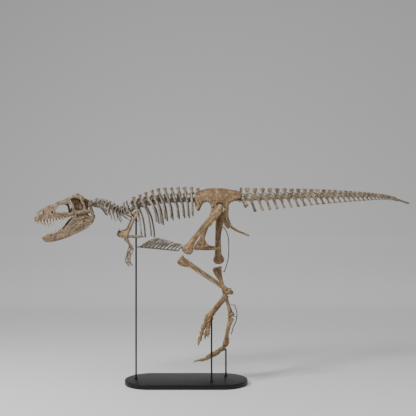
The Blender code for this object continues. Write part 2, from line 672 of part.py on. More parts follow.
def metatarsus(target, side):
    """Three foot bones bound together, the middle one pinched at the top, with the small first toe."""
    top, end = Vector(FOOT_TOP[side]), Vector(BALL[side])
    length = (top - end).length
    frame = bone_frame(top, end)
    pieces = []
    for spread, reach, thick in ((-side, 0.94, 0.024), (0, 1.0, 0.027), (side, 0.95, 0.023)):
        near, mid, far = 0.030 * spread, 0.036 * spread, 0.052 * spread
        slim = 0.6 if spread == 0 else 1.0
        pieces.append(loft([(0, near, 0, thick * slim, 0.050), (0, near, -0.10 * length, thick * slim, 0.034),
                            (0, mid, -0.60 * length, thick * 0.95, 0.024),
                            (0.004, far, -(reach - 0.05) * length, thick * 1.1, 0.036),
                            (0.006, far, -reach * length, thick * 0.9, 0.030)], 5))
    hallux = [(0.016, -side * 0.052, -0.68 * length, 0.009, 0.009),
              (0.030, -side * 0.078, -0.80 * length, 0.009, 0.010),
              (0.030, -side * 0.092, -0.92 * length, 0.002, 0.002)]
    pieces.append(loft(hallux, 4))
    unite(f"metatarsus_{SIDE_NAME[side]}", [moved(piece, frame) for piece in pieces], target, FOSSIL)


# Toe bones run from the ball of the foot: (distance, pitch below level) of each joint in turn.
TOES = {
    (LEFT, 2): ((0.135, 70), (0.105, 78), (0.140, 80)),
    (LEFT, 3): ((0.130, 64), (0.090, 76), (0.075, 74), (0.120, 80)),
    (LEFT, 4): ((0.075, 88), (0.055, 84), (0.045, 86), (0.035, 90), (0.070, 98)),
    (RIGHT, 2): ((0.130, 36), (0.100, 30), (0.130, 40)),
    (RIGHT, 3): ((0.160, 36), (0.105, 27), (0.095, 23), (0.190, 15)),
    (RIGHT, 4): ((0.095, 42), (0.070, 34), (0.060, 26), (0.050, 30), (0.120, 42)),
}
TOE_OFFSET = {2: -0.060, 3: 0.0, 4: 0.060}
TOE_SPLAY = {2: -0.30, 3: 0.0, 4: 0.28}
TOE_GAP = {LEFT: 0.021, RIGHT: 0.029}
TOE_RADIUS = {2: 0.026, 3: 0.029, 4: 0.025}


def toe(target, side, number):
    """A row of toe bones, waisted between their ends, with the claw at the end."""
    axis = (Vector(BALL[side]) - Vector(FOOT_TOP[side])).normalized()
    shorter = {2: 0.028, 3: 0.0, 4: 0.024}[number]
    start = Vector(BALL[side]) + axis * (TOE_GAP[side] - shorter)
    start += Vector((0.004, side * TOE_OFFSET[number], 0))
    radius = TOE_RADIUS[number]
    stations = []
    bones = TOES[(side, number)]
    for place, (size, pitch) in enumerate(bones):
        angle = math.radians(pitch)
        heading = Vector((-math.cos(angle), side * TOE_SPLAY[number], -math.sin(angle))).normalized()
        thick = radius * (1 - 0.12 * place)
        claw = place == len(bones) - 1
        steps = ((0.0, 1.0), (0.5, 0.68), (0.9, 0.95))
        if claw:
            steps = ((0.0, 0.85), (0.5, 0.62), (1.0, 0.10))
        for share, wide in steps:
            hook = Vector((0, 0, 0.016 * math.sin(math.pi * share) if claw else 0))
            stations.append((*(start + heading * size * share + hook), thick * wide, thick * wide))
        start = start + heading * size
    unite(f"toe_{number}_{SIDE_NAME[side]}", [loft(stations, 5)], target, FOSSIL)


# ---- skull ---------------------------------------------------------------------------------
# (forward, top, bottom, half width at top, middle and bottom, cheek wall, height of the palate)
SKULL_SECTIONS = (
    (-0.022, 0.222, 0.016, 0.060, 0.106, 0.148, 0.030, 0.105),
    (0.035, 0.262, 0.034, 0.082, 0.126, 0.150, 0.024, 0.110),
    (0.110, 0.330, 0.036, 0.094, 0.132, 0.146, 0.022, 0.112),
    (0.180, 0.340, 0.038, 0.084, 0.120, 0.130, 0.022, 0.104),
    (0.262, 0.300, 0.036, 0.058, 0.104, 0.114, 0.022, 0.080),
    (0.440, 0.254, 0.012, 0.034, 0.072, 0.084, 0.022, 0.046),
    (0.600, 0.206, 0.004, 0.028, 0.056, 0.062, 0.022, 0.036),
    (0.718, 0.152, 0.012, 0.022, 0.042, 0.042, 0.018, 0.032),
    (0.774, 0.088, 0.018, 0.010, 0.024, 0.022, 0.012, 0.032))
FENESTRAE = {
    "antorbital": ((0.497, 0.118), (0.460, 0.172), (0.420, 0.203), (0.350, 0.217), (0.285, 0.206),
                   (0.262, 0.150), (0.268, 0.078), (0.380, 0.094)),
    "naris": ((0.705, 0.124), (0.676, 0.150), (0.638, 0.150), (0.645, 0.131), (0.678, 0.114)),
}
POCKETS = {
    "orbit": ((0.244, 0.262), (0.190, 0.272), (0.134, 0.254), (0.112, 0.117), (0.150, 0.092), (0.215, 0.100)),
    "temporal": ((0.089, 0.225), (0.027, 0.206), (0.020, 0.110), (0.050, 0.070), (0.082, 0.100)),
}
POCKET_DEPTH = 0.045


def skull_frame(pitch):
    return (Matrix.Translation(JAW_JOINT) @ Matrix.Rotation(SKULL_YAW, 4, "Z")
            @ Matrix.Rotation(pitch, 4, "Y"))


def skull_ring(x, top, bottom, wide_top, wide_mid, wide_low, wall, arch):
    """An arched section: roof, cheeks and the hollow of the palate between the tooth rows."""
    shoulder_z = top - 0.10 * (top - bottom)
    middle_z = bottom + 0.50 * (top - bottom)
    half = [(wide_top, shoulder_z), (wide_mid, middle_z), (wide_low, bottom + 0.012),
            (wide_low - wall, bottom), (wide_low - wall * 1.25, arch)]
    left = [Vector((x, y, z)) for y, z in half]
    right = [Vector((x, -y, z)) for y, z in reversed(half)]
    return [Vector((x, 0, top))] + left + [Vector((x, 0, arch + 0.004))] + right


def tooth(x, y, z, size, radius, tip_back, upward=False):
    """A pointed tooth set a little way into the jaw."""
    turn = 1 if upward else -1
    stations = [(x, y, z - turn * 0.012, radius, radius * 1.25),
                (x - tip_back, y, z + turn * size, radius * 0.15, radius * 0.15)]
    return loft(stations, 3)


def tooth_size(share):
    """Tooth length along the row: short in front, longest behind the nostril, then shrinking."""
    return 0.024 + 0.048 * math.exp(-((share - 0.26) / 0.17) ** 2) + 0.010 * (1 - share)


def skull(target):
    """The skull with its openings, brow horns and upper teeth."""
    pieces = [skin([skull_ring(*row) for row in SKULL_SECTIONS])]
    for side in (LEFT, RIGHT):
        pieces.append(loft([(0.166, side * 0.076, 0.310, 0.016, 0.034),
                            (0.150, side * 0.080, 0.346, 0.010, 0.018)], 4))
        for i in range(UPPER_TEETH):
            share = i / (UPPER_TEETH - 1)
            x = 0.752 - 0.500 * share
            wide = 0.020 + 0.078 * share ** 0.62
            z = 0.014 + 0.018 * max(0.0, share - 0.6) / 0.4
            pieces.append(tooth(x, side * wide, z, tooth_size(share), 0.0075, 0.010))
    cutters = []
    for outline in FENESTRAE.values():
        cutters.append(plate(outline, 0.3))
    for outline in POCKETS.values():
        for side in (LEFT, RIGHT):
            outward = Matrix.Translation((0, side * (POCKET_DEPTH + 0.1), 0))
            cutters.append(moved(plate(outline, 0.1), outward))
    frame = skull_frame(SKULL_PITCH)
    unite("skull", [moved(piece, frame) for piece in pieces], target, PALE_FOSSIL,
          cutters=[moved(cutter, frame) for cutter in cutters])


# (forward, out, top, bottom, half thickness) along each side of the lower jaw
JAW_SECTIONS = ((-0.020, 0.128, 0.010, -0.020, 0.018), (0.010, 0.128, -0.006, -0.060, 0.024),
                (0.062, 0.114, 0.038, -0.110, 0.016), (0.135, 0.107, 0.078, -0.136, 0.012),
                (0.240, 0.098, 0.074, -0.146, 0.012), (0.360, 0.084, 0.014, -0.147, 0.014),
                (0.440, 0.072, -0.032, -0.150, 0.015), (0.560, 0.050, -0.038, -0.144, 0.017),
                (0.680, 0.024, -0.002, -0.116, 0.018), (0.740, 0.010, -0.008, -0.056, 0.012))


def mandible(target):
    """The lower jaw: two sides that meet at the chin, with the lower teeth."""
    pieces = []
    for side in (LEFT, RIGHT):
        stations = []
        for x, out, top, bottom, thick in JAW_SECTIONS:
            stations.append((x, side * out, (top + bottom) / 2, thick, (top - bottom) / 2))
        pieces.append(loft(stations, 6))
        for i in range(LOWER_TEETH):
            share = i / (LOWER_TEETH - 1)
            x = 0.705 - 0.290 * share
            wide = 0.018 + 0.058 * share ** 0.9
            z = -0.040 + 0.034 * (1 - share) ** 3
            size = 0.016 + 0.022 * math.sin(math.pi * (0.25 + 0.7 * share))
            pieces.append(tooth(x, side * wide, z, size, 0.006, 0.006, upward=True))
    frame = skull_frame(MANDIBLE_PITCH)
    unite("mandible", [moved(piece, frame) for piece in pieces], target, PALE_FOSSIL)


# ---- whole mount ---------------------------------------------------------------------------
def main():
    clear_scene()
    bones = collection("mounted_tyrannosaur_skeleton")
    stand(bones)
    skull(bones)
    mandible(bones)
    neck(bones)
    rib_cage(bones)
    sacrum(bones)
    tail(bones)
    gastralia(bones)
    sternal_plates(bones)
    furcula(bones)
    pelvis(bones)
    for side in (LEFT, RIGHT):
        shoulder(bones, side)
        arm(bones, side)
        femur(bones, side)
        shin(bones, side)
        metatarsus(bones, side)
        for number in TOE_OFFSET:
            toe(bones, side, number)


main()
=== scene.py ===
"""Dressed model of a life-size mounted tyrannosaurid skeleton on a black museum stand.

Each bone is built from rounded forms over named stations, merged into one skin by a voxel remesh,
then weathered by fine displacement.  Metres, +Z up, +X towards the tail, -Y the animal's left.
"""
import math

import bmesh
import bpy
import numpy as np
from bpy.props import FloatProperty, FloatVectorProperty, IntProperty, PointerProperty
from mathutils import Matrix, Vector, kdtree


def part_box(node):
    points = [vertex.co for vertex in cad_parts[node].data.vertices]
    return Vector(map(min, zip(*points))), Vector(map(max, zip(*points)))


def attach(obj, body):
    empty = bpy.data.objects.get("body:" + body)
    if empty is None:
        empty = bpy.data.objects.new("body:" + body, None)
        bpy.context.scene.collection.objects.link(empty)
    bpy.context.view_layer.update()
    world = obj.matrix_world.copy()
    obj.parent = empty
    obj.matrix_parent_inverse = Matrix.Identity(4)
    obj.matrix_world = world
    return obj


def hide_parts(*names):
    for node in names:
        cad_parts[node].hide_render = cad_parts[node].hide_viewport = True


bl_info = {
    "name": "Mounted tyrannosaurid skeleton",
    "version": (1, 0, 0),
    "blender": (4, 5, 0),
    "location": "3D View > Sidebar > Skeleton",
    "description": "Builds the bones, teeth, stand and studio of a life-size mounted dinosaur skeleton",
    "category": "Add Mesh",
}

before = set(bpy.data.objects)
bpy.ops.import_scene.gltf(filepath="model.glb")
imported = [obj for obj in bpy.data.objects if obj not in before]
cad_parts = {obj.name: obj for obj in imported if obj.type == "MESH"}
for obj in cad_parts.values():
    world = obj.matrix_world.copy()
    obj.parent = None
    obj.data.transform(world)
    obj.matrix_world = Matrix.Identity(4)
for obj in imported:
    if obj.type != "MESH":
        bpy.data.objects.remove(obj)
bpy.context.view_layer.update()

LEFT = -1
RIGHT = 1
SIDES = (LEFT, RIGHT)
SIDE_NAME = {LEFT: "left", RIGHT: "right"}


# ---- forms: closed skins with the line that their grain follows ----
class Form:
    """Points and faces of a closed skin, and marks along it: place, axes and distance."""

    made = 0
    GRAIN_STEP = 3.7

    def __init__(self, points, faces, marks, axes, reach):
        self.points = np.asarray(points, float)
        self.faces = faces
        self.marks = np.asarray(marks, float)
        self.axes = np.asarray(axes, float)
        self.reach = np.asarray(reach, float)

    @classmethod
    def grain_start(cls):
        """Where the grain of the next form begins, so that no two forms have the same streaks."""
        cls.made += 1
        return cls.GRAIN_STEP * cls.made

    def placed(self, matrix):
        """The form carried over by a matrix."""
        whole = np.array(matrix, float)
        turn = whole[:3, :3]
        turned = self.axes @ turn.T
        turned = turned / np.maximum(np.linalg.norm(turned, axis=2, keepdims=True), 1e-9)
        return Form(self.points @ turn.T + whole[:3, 3], self.faces, self.marks @ turn.T + whole[:3, 3],
            turned, self.reach)

    def shifted(self, change):
        """The form with its points and marks passed through a function of an array of places."""
        return Form(change(self.points), self.faces, change(self.marks), self.axes, self.reach)


def placed(forms, matrix):
    """Forms carried over by a matrix."""
    return [form.placed(matrix) for form in forms]


def between(a, b, c, d, t):
    """A place between knots b and c of a smooth curve, with a and d as the knots beside them."""
    return 0.5 * (2 * b + (c - a) * t + (2 * a - 5 * b + 4 * c - d) * t ** 2
        + (3 * b - a - 3 * c + d) * t ** 3)


def even(rows, step):
    """Rows of numbers (x, y, z, sizes) run through smoothly, with places no further apart than step."""
    rows = np.array(rows, float)
    knots = np.vstack([2 * rows[0] - rows[1], rows, 2 * rows[-1] - rows[-2]])
    spans = []
    for a, b, c, d in zip(knots, knots[1:], knots[2:], knots[3:]):
        count = max(2, int(np.linalg.norm((c - b)[:3]) / step) + 1)
        t = np.linspace(0, 1, count, endpoint=False)[:, None]
        spans.append(between(a, b, c, d, t))
    spans.append(rows[-1:])
    return np.vstack(spans)


def closed_skin(rings):
    """Points and faces over rings of equal count, capped at both ends."""
    count, sides = rings.shape[:2]
    faces = []
    for i in range(count - 1):
        low, high = i * sides, (i + 1) * sides
        for k in range(sides):
            j = (k + 1) % sides
            faces.append((low + k, high + k, high + j, low + j))
    faces.append(tuple(range(sides)))
    faces.append(tuple(range((count - 1) * sides, count * sides))[::-1])
    return rings.reshape(-1, 3), faces


def line_axes(centres, across):
    """Run, wide and other directions at each place of a line."""
    run = np.gradient(centres, axis=0)
    run /= np.linalg.norm(run, axis=1, keepdims=True) + 1e-12
    wide = np.asarray(across, float) - run * (run @ np.asarray(across, float))[:, None]
    wide /= np.linalg.norm(wide, axis=1, keepdims=True) + 1e-12
    return run, wide, np.cross(run, wide)


def tube(rows, sides=18, across=(0, 1, 0), step=0.01, power=2.0, tip=0.6, side=1):
    """A rounded bar over smooth stations (x, y, z, half size towards across, half size the other way).

    A side of -1 turns the stations over to the other side of the body.
    """
    line = even([(x, side * y, z, a, b) for x, y, z, a, b in rows], step)
    centres, sizes = line[:, :3], np.clip(line[:, 3:5], 0.0006, None)
    run, wide, other = line_axes(centres, across)
    angle = np.linspace(0, 2 * np.pi, sides, endpoint=False)
    cos, sin = np.cos(angle), np.sin(angle)
    cos = np.sign(cos) * np.abs(cos) ** (2 / power)
    sin = np.sign(sin) * np.abs(sin) ** (2 / power)
    rings = []
    for end, turns in ((0, (80, 55, 28)), (-1, (28, 55, 80))):
        cap = []
        bulge = tip * min(sizes[end]) * (-1 if end == 0 else 1)
        for turn in np.radians(turns):
            middle = centres[end] + run[end] * bulge * math.sin(turn)
            half = sizes[end] * math.cos(turn)
            cap.append(middle + np.outer(cos * half[0], wide[end]) + np.outer(sin * half[1], other[end]))
        rings.append(cap)
    body = [centre + np.outer(cos * size[0], w) + np.outer(sin * size[1], o)
        for centre, size, w, o in zip(centres, sizes, wide, other)]
    points, faces = closed_skin(np.array(rings[0] + body + rings[1]))
    reach = np.concatenate([[0], np.cumsum(np.linalg.norm(np.diff(centres, axis=0), axis=1))])
    axes = np.stack([wide, other, run], axis=1)
    return Form(points, faces, centres, axes, reach + Form.grain_start())


def both(maker):
    """Forms of a maker called once for each side."""
    return [form for side in SIDES for form in maker(side)]


def smooth_loop(outline, step=0.012):
    """A closed outline rounded through its points."""
    points = np.array(outline, float)
    around = np.vstack([points[-1], points, points[0], points[1]])
    spans = []
    for a, b, c, d in zip(around, around[1:], around[2:], around[3:]):
        count = max(2, int(np.linalg.norm(c - b) / step) + 1)
        t = np.linspace(0, 1, count, endpoint=False)[:, None]
        spans.append(between(a, b, c, d, t))
    return np.vstack(spans)


def slab(outline, half_thickness, edge=None, smooth=True):
    """A flat outline in the X-Z plane with rounded edges, its thickness along Y."""
    edge = half_thickness * 0.9 if edge is None else edge
    loop = smooth_loop(outline) if smooth else np.array(outline, float)
    curve = bpy.data.curves.new("outline", "CURVE")
    curve.dimensions = "2D"
    curve.fill_mode = "BOTH"
    curve.extrude = half_thickness - edge
    curve.bevel_depth = edge
    curve.bevel_resolution = 2
    curve.offset = -edge
    line = curve.splines.new("POLY")
    line.points.add(len(loop) - 1)
    for point, (x, z) in zip(line.points, loop):
        point.co = (x, z, 0, 1)
    line.use_cyclic_u = True
    holder = bpy.data.objects.new("outline", curve)
    bpy.context.scene.collection.objects.link(holder)
    data = bpy.data.meshes.new_from_object(holder.evaluated_get(bpy.context.evaluated_depsgraph_get()))
    bpy.data.objects.remove(holder, do_unlink=True)
    bpy.data.curves.remove(curve)
    mesh = bmesh.new()
    mesh.from_mesh(data)
    bmesh.ops.remove_doubles(mesh, verts=mesh.verts, dist=0.00005)
    mesh.to_mesh(data)
    mesh.free()
    points, faces = read_mesh(data)
    bpy.data.meshes.remove(data)
    points = points[:, (0, 2, 1)]
    centre = points.mean(axis=0)
    return Form(points, [face[::-1] for face in faces], [centre], [[(0, 1, 0), (0, 0, 1), (1, 0, 0)]],
        [Form.grain_start()])


def leaned(form, middle, height, slope):
    """A slab moved to y = middle and leaned by slope for each metre above height."""
    def change(places):
        moved = places.copy()
        moved[:, 1] += middle + slope * (places[:, 2] - height)
        return moved
    return form.shifted(change)


def knob(centre, radius, stretch=(1, 1, 1)):
    """A rounded lump."""
    sides = 16
    angle = np.linspace(0, 2 * np.pi, sides, endpoint=False)
    rings = []
    for turn in np.radians(np.arange(-80, 81, 20)):
        ring = np.stack([np.cos(angle) * math.cos(turn), np.sin(angle) * math.cos(turn),
            np.full(sides, math.sin(turn))], axis=1)
        rings.append(ring * np.asarray(stretch) * radius + np.asarray(centre, float))
    points, faces = closed_skin(np.array(rings))
    return Form(points, faces, [centre], [np.eye(3)], [Form.grain_start()])


# ---- meshes ----
def read_mesh(data):
    """Points and faces of a mesh."""
    points = np.zeros(len(data.vertices) * 3)
    data.vertices.foreach_get("co", points)
    return points.reshape(-1, 3), [tuple(face.vertices) for face in data.polygons]


def mesh_of(forms):
    """One mesh of many forms, left as separate skins."""
    points, faces, start = [], [], 0
    for form in forms:
        points.append(form.points)
        faces.extend(tuple(i + start for i in face) for face in form.faces)
        start += len(form.points)
    data = bpy.data.meshes.new("forms")
    data.from_pydata(np.vstack(points).tolist(), [], faces)
    data.update()
    mesh = bmesh.new()
    mesh.from_mesh(data)
    bmesh.ops.recalc_face_normals(mesh, faces=mesh.faces)
    mesh.to_mesh(data)
    mesh.free()
    return data


def worked(data, steps):
    """A mesh passed through modifiers, given as (kind, settings)."""
    holder = bpy.data.objects.new("work", data)
    bpy.context.scene.collection.objects.link(holder)
    for kind, settings in steps:
        tool = holder.modifiers.new(kind.lower(), kind)
        for key, value in settings.items():
            setattr(tool, key, value)
    done = bpy.data.meshes.new_from_object(holder.evaluated_get(bpy.context.evaluated_depsgraph_get()))
    bpy.data.objects.remove(holder, do_unlink=True)
    bpy.data.meshes.remove(data)
    return done


def fused(forms, voxel):
    """Forms merged into one skin."""
    return worked(mesh_of(forms), [("REMESH", {"mode": "VOXEL", "voxel_size": voxel})])


def pierced(data, cutters):
    """A merged skin with closed cutters taken out of it."""
    group = bpy.data.collections.new("cutters")
    bpy.context.scene.collection.children.link(group)
    helpers = []
    for cutter in cutters:
        helper = bpy.data.objects.new("cutter", mesh_of([cutter]))
        group.objects.link(helper)
        helpers.append(helper)
    done = worked(data, [("BOOLEAN", {"operation": "DIFFERENCE", "solver": "EXACT",
        "operand_type": "COLLECTION", "collection": group})])
    for helper in helpers:
        bpy.data.objects.remove(helper, do_unlink=True)
    bpy.data.collections.remove(group)
    return done


def as_form(data, marks):
    """A mesh turned back into a form that borrows the marks of other forms."""
    points, faces = read_mesh(data)
    bpy.data.meshes.remove(data)
    return Form(points, faces, np.vstack([m.marks for m in marks]), np.vstack([m.axes for m in marks]),
        np.concatenate([m.reach for m in marks]))


def relief(size):
    """A cloudy pattern for weathering a skin."""
    texture = bpy.data.textures.new("relief", "CLOUDS")
    texture.noise_scale = size
    texture.noise_depth = 2
    return texture


def grained(data, forms):
    """Writes, for each point, its place across and along the nearest form, for the bone's grain."""
    marks = np.vstack([form.marks for form in forms])
    axes = np.vstack([form.axes for form in forms])
    reach = np.concatenate([form.reach for form in forms])
    tree = kdtree.KDTree(len(marks))
    for i, mark in enumerate(marks):
        tree.insert(mark, i)
    tree.balance()
    points = np.zeros(len(data.vertices) * 3)
    data.vertices.foreach_get("co", points)
    points = points.reshape(-1, 3)
    nearest = np.array([tree.find(point)[1] for point in points], dtype=int)
    away = points - marks[nearest]
    local = np.einsum("nij,nj->ni", axes[nearest], away)
    local[:, 2] += reach[nearest]
    field = data.attributes.new("grain", "FLOAT_VECTOR", "POINT")
    field.data.foreach_set("vector", local.ravel())


def piece(name, data, material, *nodes, slot):
    """A shown piece that rides on the mount and stands for the named solids."""
    data.name = name
    made = bpy.data.objects.new(name, data)
    bpy.context.scene.collection.objects.link(made)
    data.materials.clear()
    data.materials.append(material)
    data.shade_smooth()
    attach(made, "root")
    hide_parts(*nodes)


# Sizes of the broad and the fine lumps of a bone; bone() takes the height of each.
LUMP_SIZES = (0.045, 0.012)


def bone(name, forms, finish, *nodes, voxel=None, smooth=3, lumps=(0.0016, 0.0007), cutters=(), extra=()):
    """One weathered bone: forms merged, pierced, smoothed, given lumps and grain."""
    sizes = bpy.context.scene.bone_surface
    voxel = (voxel or sizes.voxel) * sizes.coarseness * 1.0
    if cutters:
        whole = pierced(fused(forms, voxel), cutters)
        forms = list(forms) + list(extra)
        data = fused([as_form(whole, forms)] + list(extra), voxel)
    else:
        data = fused(forms, voxel)
    steps = [("SMOOTH", {"factor": 0.5, "iterations": smooth})]
    for size, lump in zip(LUMP_SIZES, lumps):
        steps.append(("DISPLACE", {"texture": relief(size), "strength": lump * 2 * sizes.weathering,
            "texture_coords": "LOCAL"}))
    data = worked(data, steps)
    grained(data, forms)
    material, slot = bone_finish(finish)
    piece(name, data, material, *nodes, slot=slot)


# ---- materials ----
class Value:
    """A number socket that takes part in sums: each operation adds its Math node."""

    def __init__(self, look, socket):
        self.look = look
        self.socket = socket

    def math(self, operation, *others):
        node = self.look.node("ShaderNodeMath", {"operation": operation})
        for place, value in zip(node.inputs, (self,) + others):
            self.look.feed(place, value)
        return Value(self.look, node.outputs[0])

    def __add__(self, other):
        return self.math("ADD", other)

    def __sub__(self, other):
        return self.math("SUBTRACT", other)

    def __mul__(self, other):
        return self.math("MULTIPLY", other)

    def __rsub__(self, other):
        return self * -1.0 + other

    __radd__ = __add__

    def clear_above(self, low, high):
        """0 below low, 1 above high and smooth between."""
        node = self.look.node("ShaderNodeMapRange", {"interpolation_type": "SMOOTHSTEP"}, Value=self,
            **{"From Min": low, "From Max": high})
        return Value(self.look, node.outputs[0])


class Look:
    """A node material that ends in one Principled shader."""

    def __init__(self, name, **fixed):
        self.material = bpy.data.materials.new(name)
        self.material.use_nodes = True
        self.tree = self.material.node_tree
        self.shader = self.tree.nodes["Principled BSDF"]
        for socket, value in fixed.items():
            self.shader.inputs[socket.replace("_", " ")].default_value = value

    def feed(self, socket, value):
        """Links a socket to another one, or gives it a fixed value."""
        if isinstance(value, Value):
            self.tree.links.new(value.socket, socket)
        elif isinstance(value, bpy.types.NodeSocket):
            self.tree.links.new(value, socket)
        else:
            socket.default_value = value

    def node(self, kind, settings=None, **sockets):
        """A node with its settings put in first and then its sockets' values or links."""
        made = self.tree.nodes.new(kind)
        for key, value in (settings or {}).items():
            setattr(made, key, value)
        for name, value in sockets.items():
            self.feed(made.inputs[name.replace("_", " ")], value)
        return made

    def noise(self, place, scale, detail=4.0, roughness=0.6, distortion=0.0):
        made = self.node("ShaderNodeTexNoise", None, Vector=place, Scale=scale, Detail=detail,
            Roughness=roughness, Distortion=distortion)
        return Value(self, made.outputs["Fac"])

    def mix(self, share, low, high):
        """Two colours mixed by a share; the mix node keeps its colour sockets at 6 and 7."""
        made = self.node("ShaderNodeMix", {"data_type": "RGBA"})
        for place, value in ((0, share), (6, low), (7, high)):
            self.feed(made.inputs[place], value)
        return made.outputs[2]

    def place(self):
        return self.node("ShaderNodeTexCoord").outputs["Object"]

    def grain(self, along=0.14):
        """The place across and along a bone, drawn out along it."""
        read = self.node("ShaderNodeAttribute", {"attribute_name": "grain"})
        return self.node("ShaderNodeMapping", None, Vector=read.outputs["Vector"],
            Scale=(1, 1, along)).outputs[0]

    def finish(self, colour, roughness, height=None, strength=0.5, distance=0.002):
        self.feed(self.shader.inputs["Base Color"], colour)
        self.feed(self.shader.inputs["Roughness"], roughness)
        if height is not None:
            bump = self.node("ShaderNodeBump", None, Strength=strength, Distance=distance, Height=height)
            self.tree.links.new(bump.outputs[0], self.shader.inputs["Normal"])
        return self.material


def fossil(name, light, middle, dark):
    """Old mineralised bone: mottled, streaked along its grain, cracked, paler at worn edges, and darkened in
    its hollows as painted shade.
    """
    if name in bpy.data.materials:
        return bpy.data.materials[name]
    look = Look(name, IOR=1.45)
    place, grain = look.place(), look.grain()
    broad = look.noise(place, 4.5, 5.0, 0.55, 0.4)
    patches = look.noise(place, 17.0, 5.0, 0.65, 0.6)
    speckle = look.noise(place, 150.0, 3.0, 0.7)
    streaks = look.noise(grain, 95.0, 4.0, 0.6)
    lines = look.node("ShaderNodeTexVoronoi", {"feature": "DISTANCE_TO_EDGE"}, Vector=look.grain(0.22),
        Scale=34.0, Randomness=1.0)
    cracks = 1.0 - Value(look, lines.outputs["Distance"]).clear_above(0.006, 0.05)
    cracks = cracks * look.noise(place, 9.0, 2.0).clear_above(0.48, 0.62)
    pores = look.node("ShaderNodeTexVoronoi", {"feature": "F1"}, Vector=place, Scale=210.0)
    pores = 1.0 - Value(look, pores.outputs["Distance"]).clear_above(0.1, 0.34)
    pores = pores * patches.clear_above(0.46, 0.62)
    edge = Value(look, look.node("ShaderNodeNewGeometry").outputs["Pointiness"])
    worn = edge.clear_above(0.515, 0.6)
    # Low pointiness marks hollows and creases: they get painted shade below, and a rougher surface.
    hollow_shade = 1.0 - edge.clear_above(0.42, 0.495)

    bands = look.noise(look.grain(0.2), 26.0, 3.0, 0.55)
    blots = look.noise(place, 34.0, 4.0, 0.6, 0.5)
    tone = (broad * 0.25 + patches * 0.35 + bands * 0.4).clear_above(0.455, 0.545)
    colour = look.mix(tone, middle, light)
    colour = look.mix(streaks.clear_above(0.5, 0.78) * 0.55, colour, dark)
    colour = look.mix(patches.clear_above(0.52, 0.62) * 0.72, colour, dark)
    colour = look.mix(blots.clear_above(0.53, 0.6) * 0.7, colour, dark)
    colour = look.mix(worn * 0.45, colour, tuple(min(1.0, c * 1.28) for c in light[:3]) + (1,))
    # Painted shade: hollows and creases take the dark tone.
    colour = look.mix(hollow_shade * 0.55, colour, dark)
    colour = look.mix(cracks * 0.75, colour, tuple(c * 0.35 for c in dark[:3]) + (1,))
    colour = look.mix(pores * 0.6, colour, tuple(c * 0.5 for c in dark[:3]) + (1,))
    colour = look.mix((speckle - 0.5).clear_above(-0.2, 0.25) * 0.16, colour, (0.7, 0.62, 0.5, 1))
    rough = 0.66 - tone * 0.14 + hollow_shade * 0.14 - worn * 0.08
    height = streaks * 0.4 + patches * 0.5 + blots * 0.4 + bands * 0.4 + speckle * 0.1
    height = height - cracks * 0.8 - pores * 0.5
    return look.finish(colour, rough, height, 0.85, 0.0075)


# The tones of a finish, how much of their brightness it keeps, and its slot; the dark finish is the grey one
# darkened as painted shade.
FINISHES = {"tan": ("tan", 1.0, "bone_tan"), "skull": ("skull", 1.0, "bone_pale"),
    "grey": ("grey", 1.0, "bone_grey"), "dark": ("grey", 0.55, "bone_grey"),
    "tail": ("tail", 1.0, "bone_pale")}


def bone_finish(finish):
    """The material of a finish and its slot."""
    tones, share, slot = FINISHES[finish]
    group = bpy.context.scene.bone_tones
    colours = [(*(c * share for c in getattr(group, f"{tones}_{level}")), 1)
        for level in ("light", "middle", "dark")]
    return fossil(f"fossil_{finish}", *colours), slot


def enamel():
    """Teeth: brown at the root, cream towards the tip, with fine lengthwise lines."""
    if "tooth_enamel" in bpy.data.materials:
        return bpy.data.materials["tooth_enamel"]
    look = Look("tooth_enamel", IOR=1.5, Coat_Roughness=0.25)
    place = look.place()
    read = look.node("ShaderNodeAttribute", {"attribute_name": "grain"})
    lines = look.noise(look.grain(0.06), 420.0, 3.0)
    stains = look.noise(place, 60.0, 4.0)
    split = look.node("ShaderNodeSeparateXYZ", None, Vector=read.outputs["Vector"])
    along = Value(look, split.outputs["Z"])
    colour = look.mix((along * 30.0 + stains - 0.5).clear_above(0.0, 1.1), (0.16, 0.095, 0.05, 1),
        (0.62, 0.52, 0.38, 1))
    colour = look.mix(lines.clear_above(0.5, 0.75) * 0.4, colour, (0.22, 0.14, 0.08, 1))
    rough = 0.3 + stains * 0.2
    return look.finish(colour, rough, lines * 0.5 + stains * 0.2, 0.3, 0.0006)


def black_steel():
    """Satin black paint over steel, dusty and scuffed on top."""
    if "stand_black_paint" in bpy.data.materials:
        return bpy.data.materials["stand_black_paint"]
    look = Look("stand_black_paint", Metallic=0.0, IOR=1.38)
    place = look.place()
    dust = look.noise(place, 6.0, 6.0, 0.65)
    grit = look.noise(place, 260.0, 3.0, 0.7)
    drawn_out = look.node("ShaderNodeMapping", None, Vector=place, Scale=(1.0, 6.0, 1.0))
    scuffs = look.noise(drawn_out.outputs[0], 9.0, 6.0)
    surface = look.node("ShaderNodeNewGeometry")
    level = look.node("ShaderNodeSeparateXYZ", None, Vector=surface.outputs["Normal"])
    top = Value(look, level.outputs["Z"]).clear_above(0.6, 1.0)
    colour = look.mix(dust.clear_above(0.35, 0.75) * top * 0.6, (0.005, 0.005, 0.0055, 1),
        (0.022, 0.02, 0.018, 1))
    colour = look.mix(scuffs.clear_above(0.66, 0.74) * top * 0.3, colour, (0.05, 0.047, 0.043, 1))
    rough = 0.3 + dust * 0.16 + grit * 0.08
    return look.finish(colour, rough, grit * 0.5 + dust * 0.2, 0.15, 0.0005)


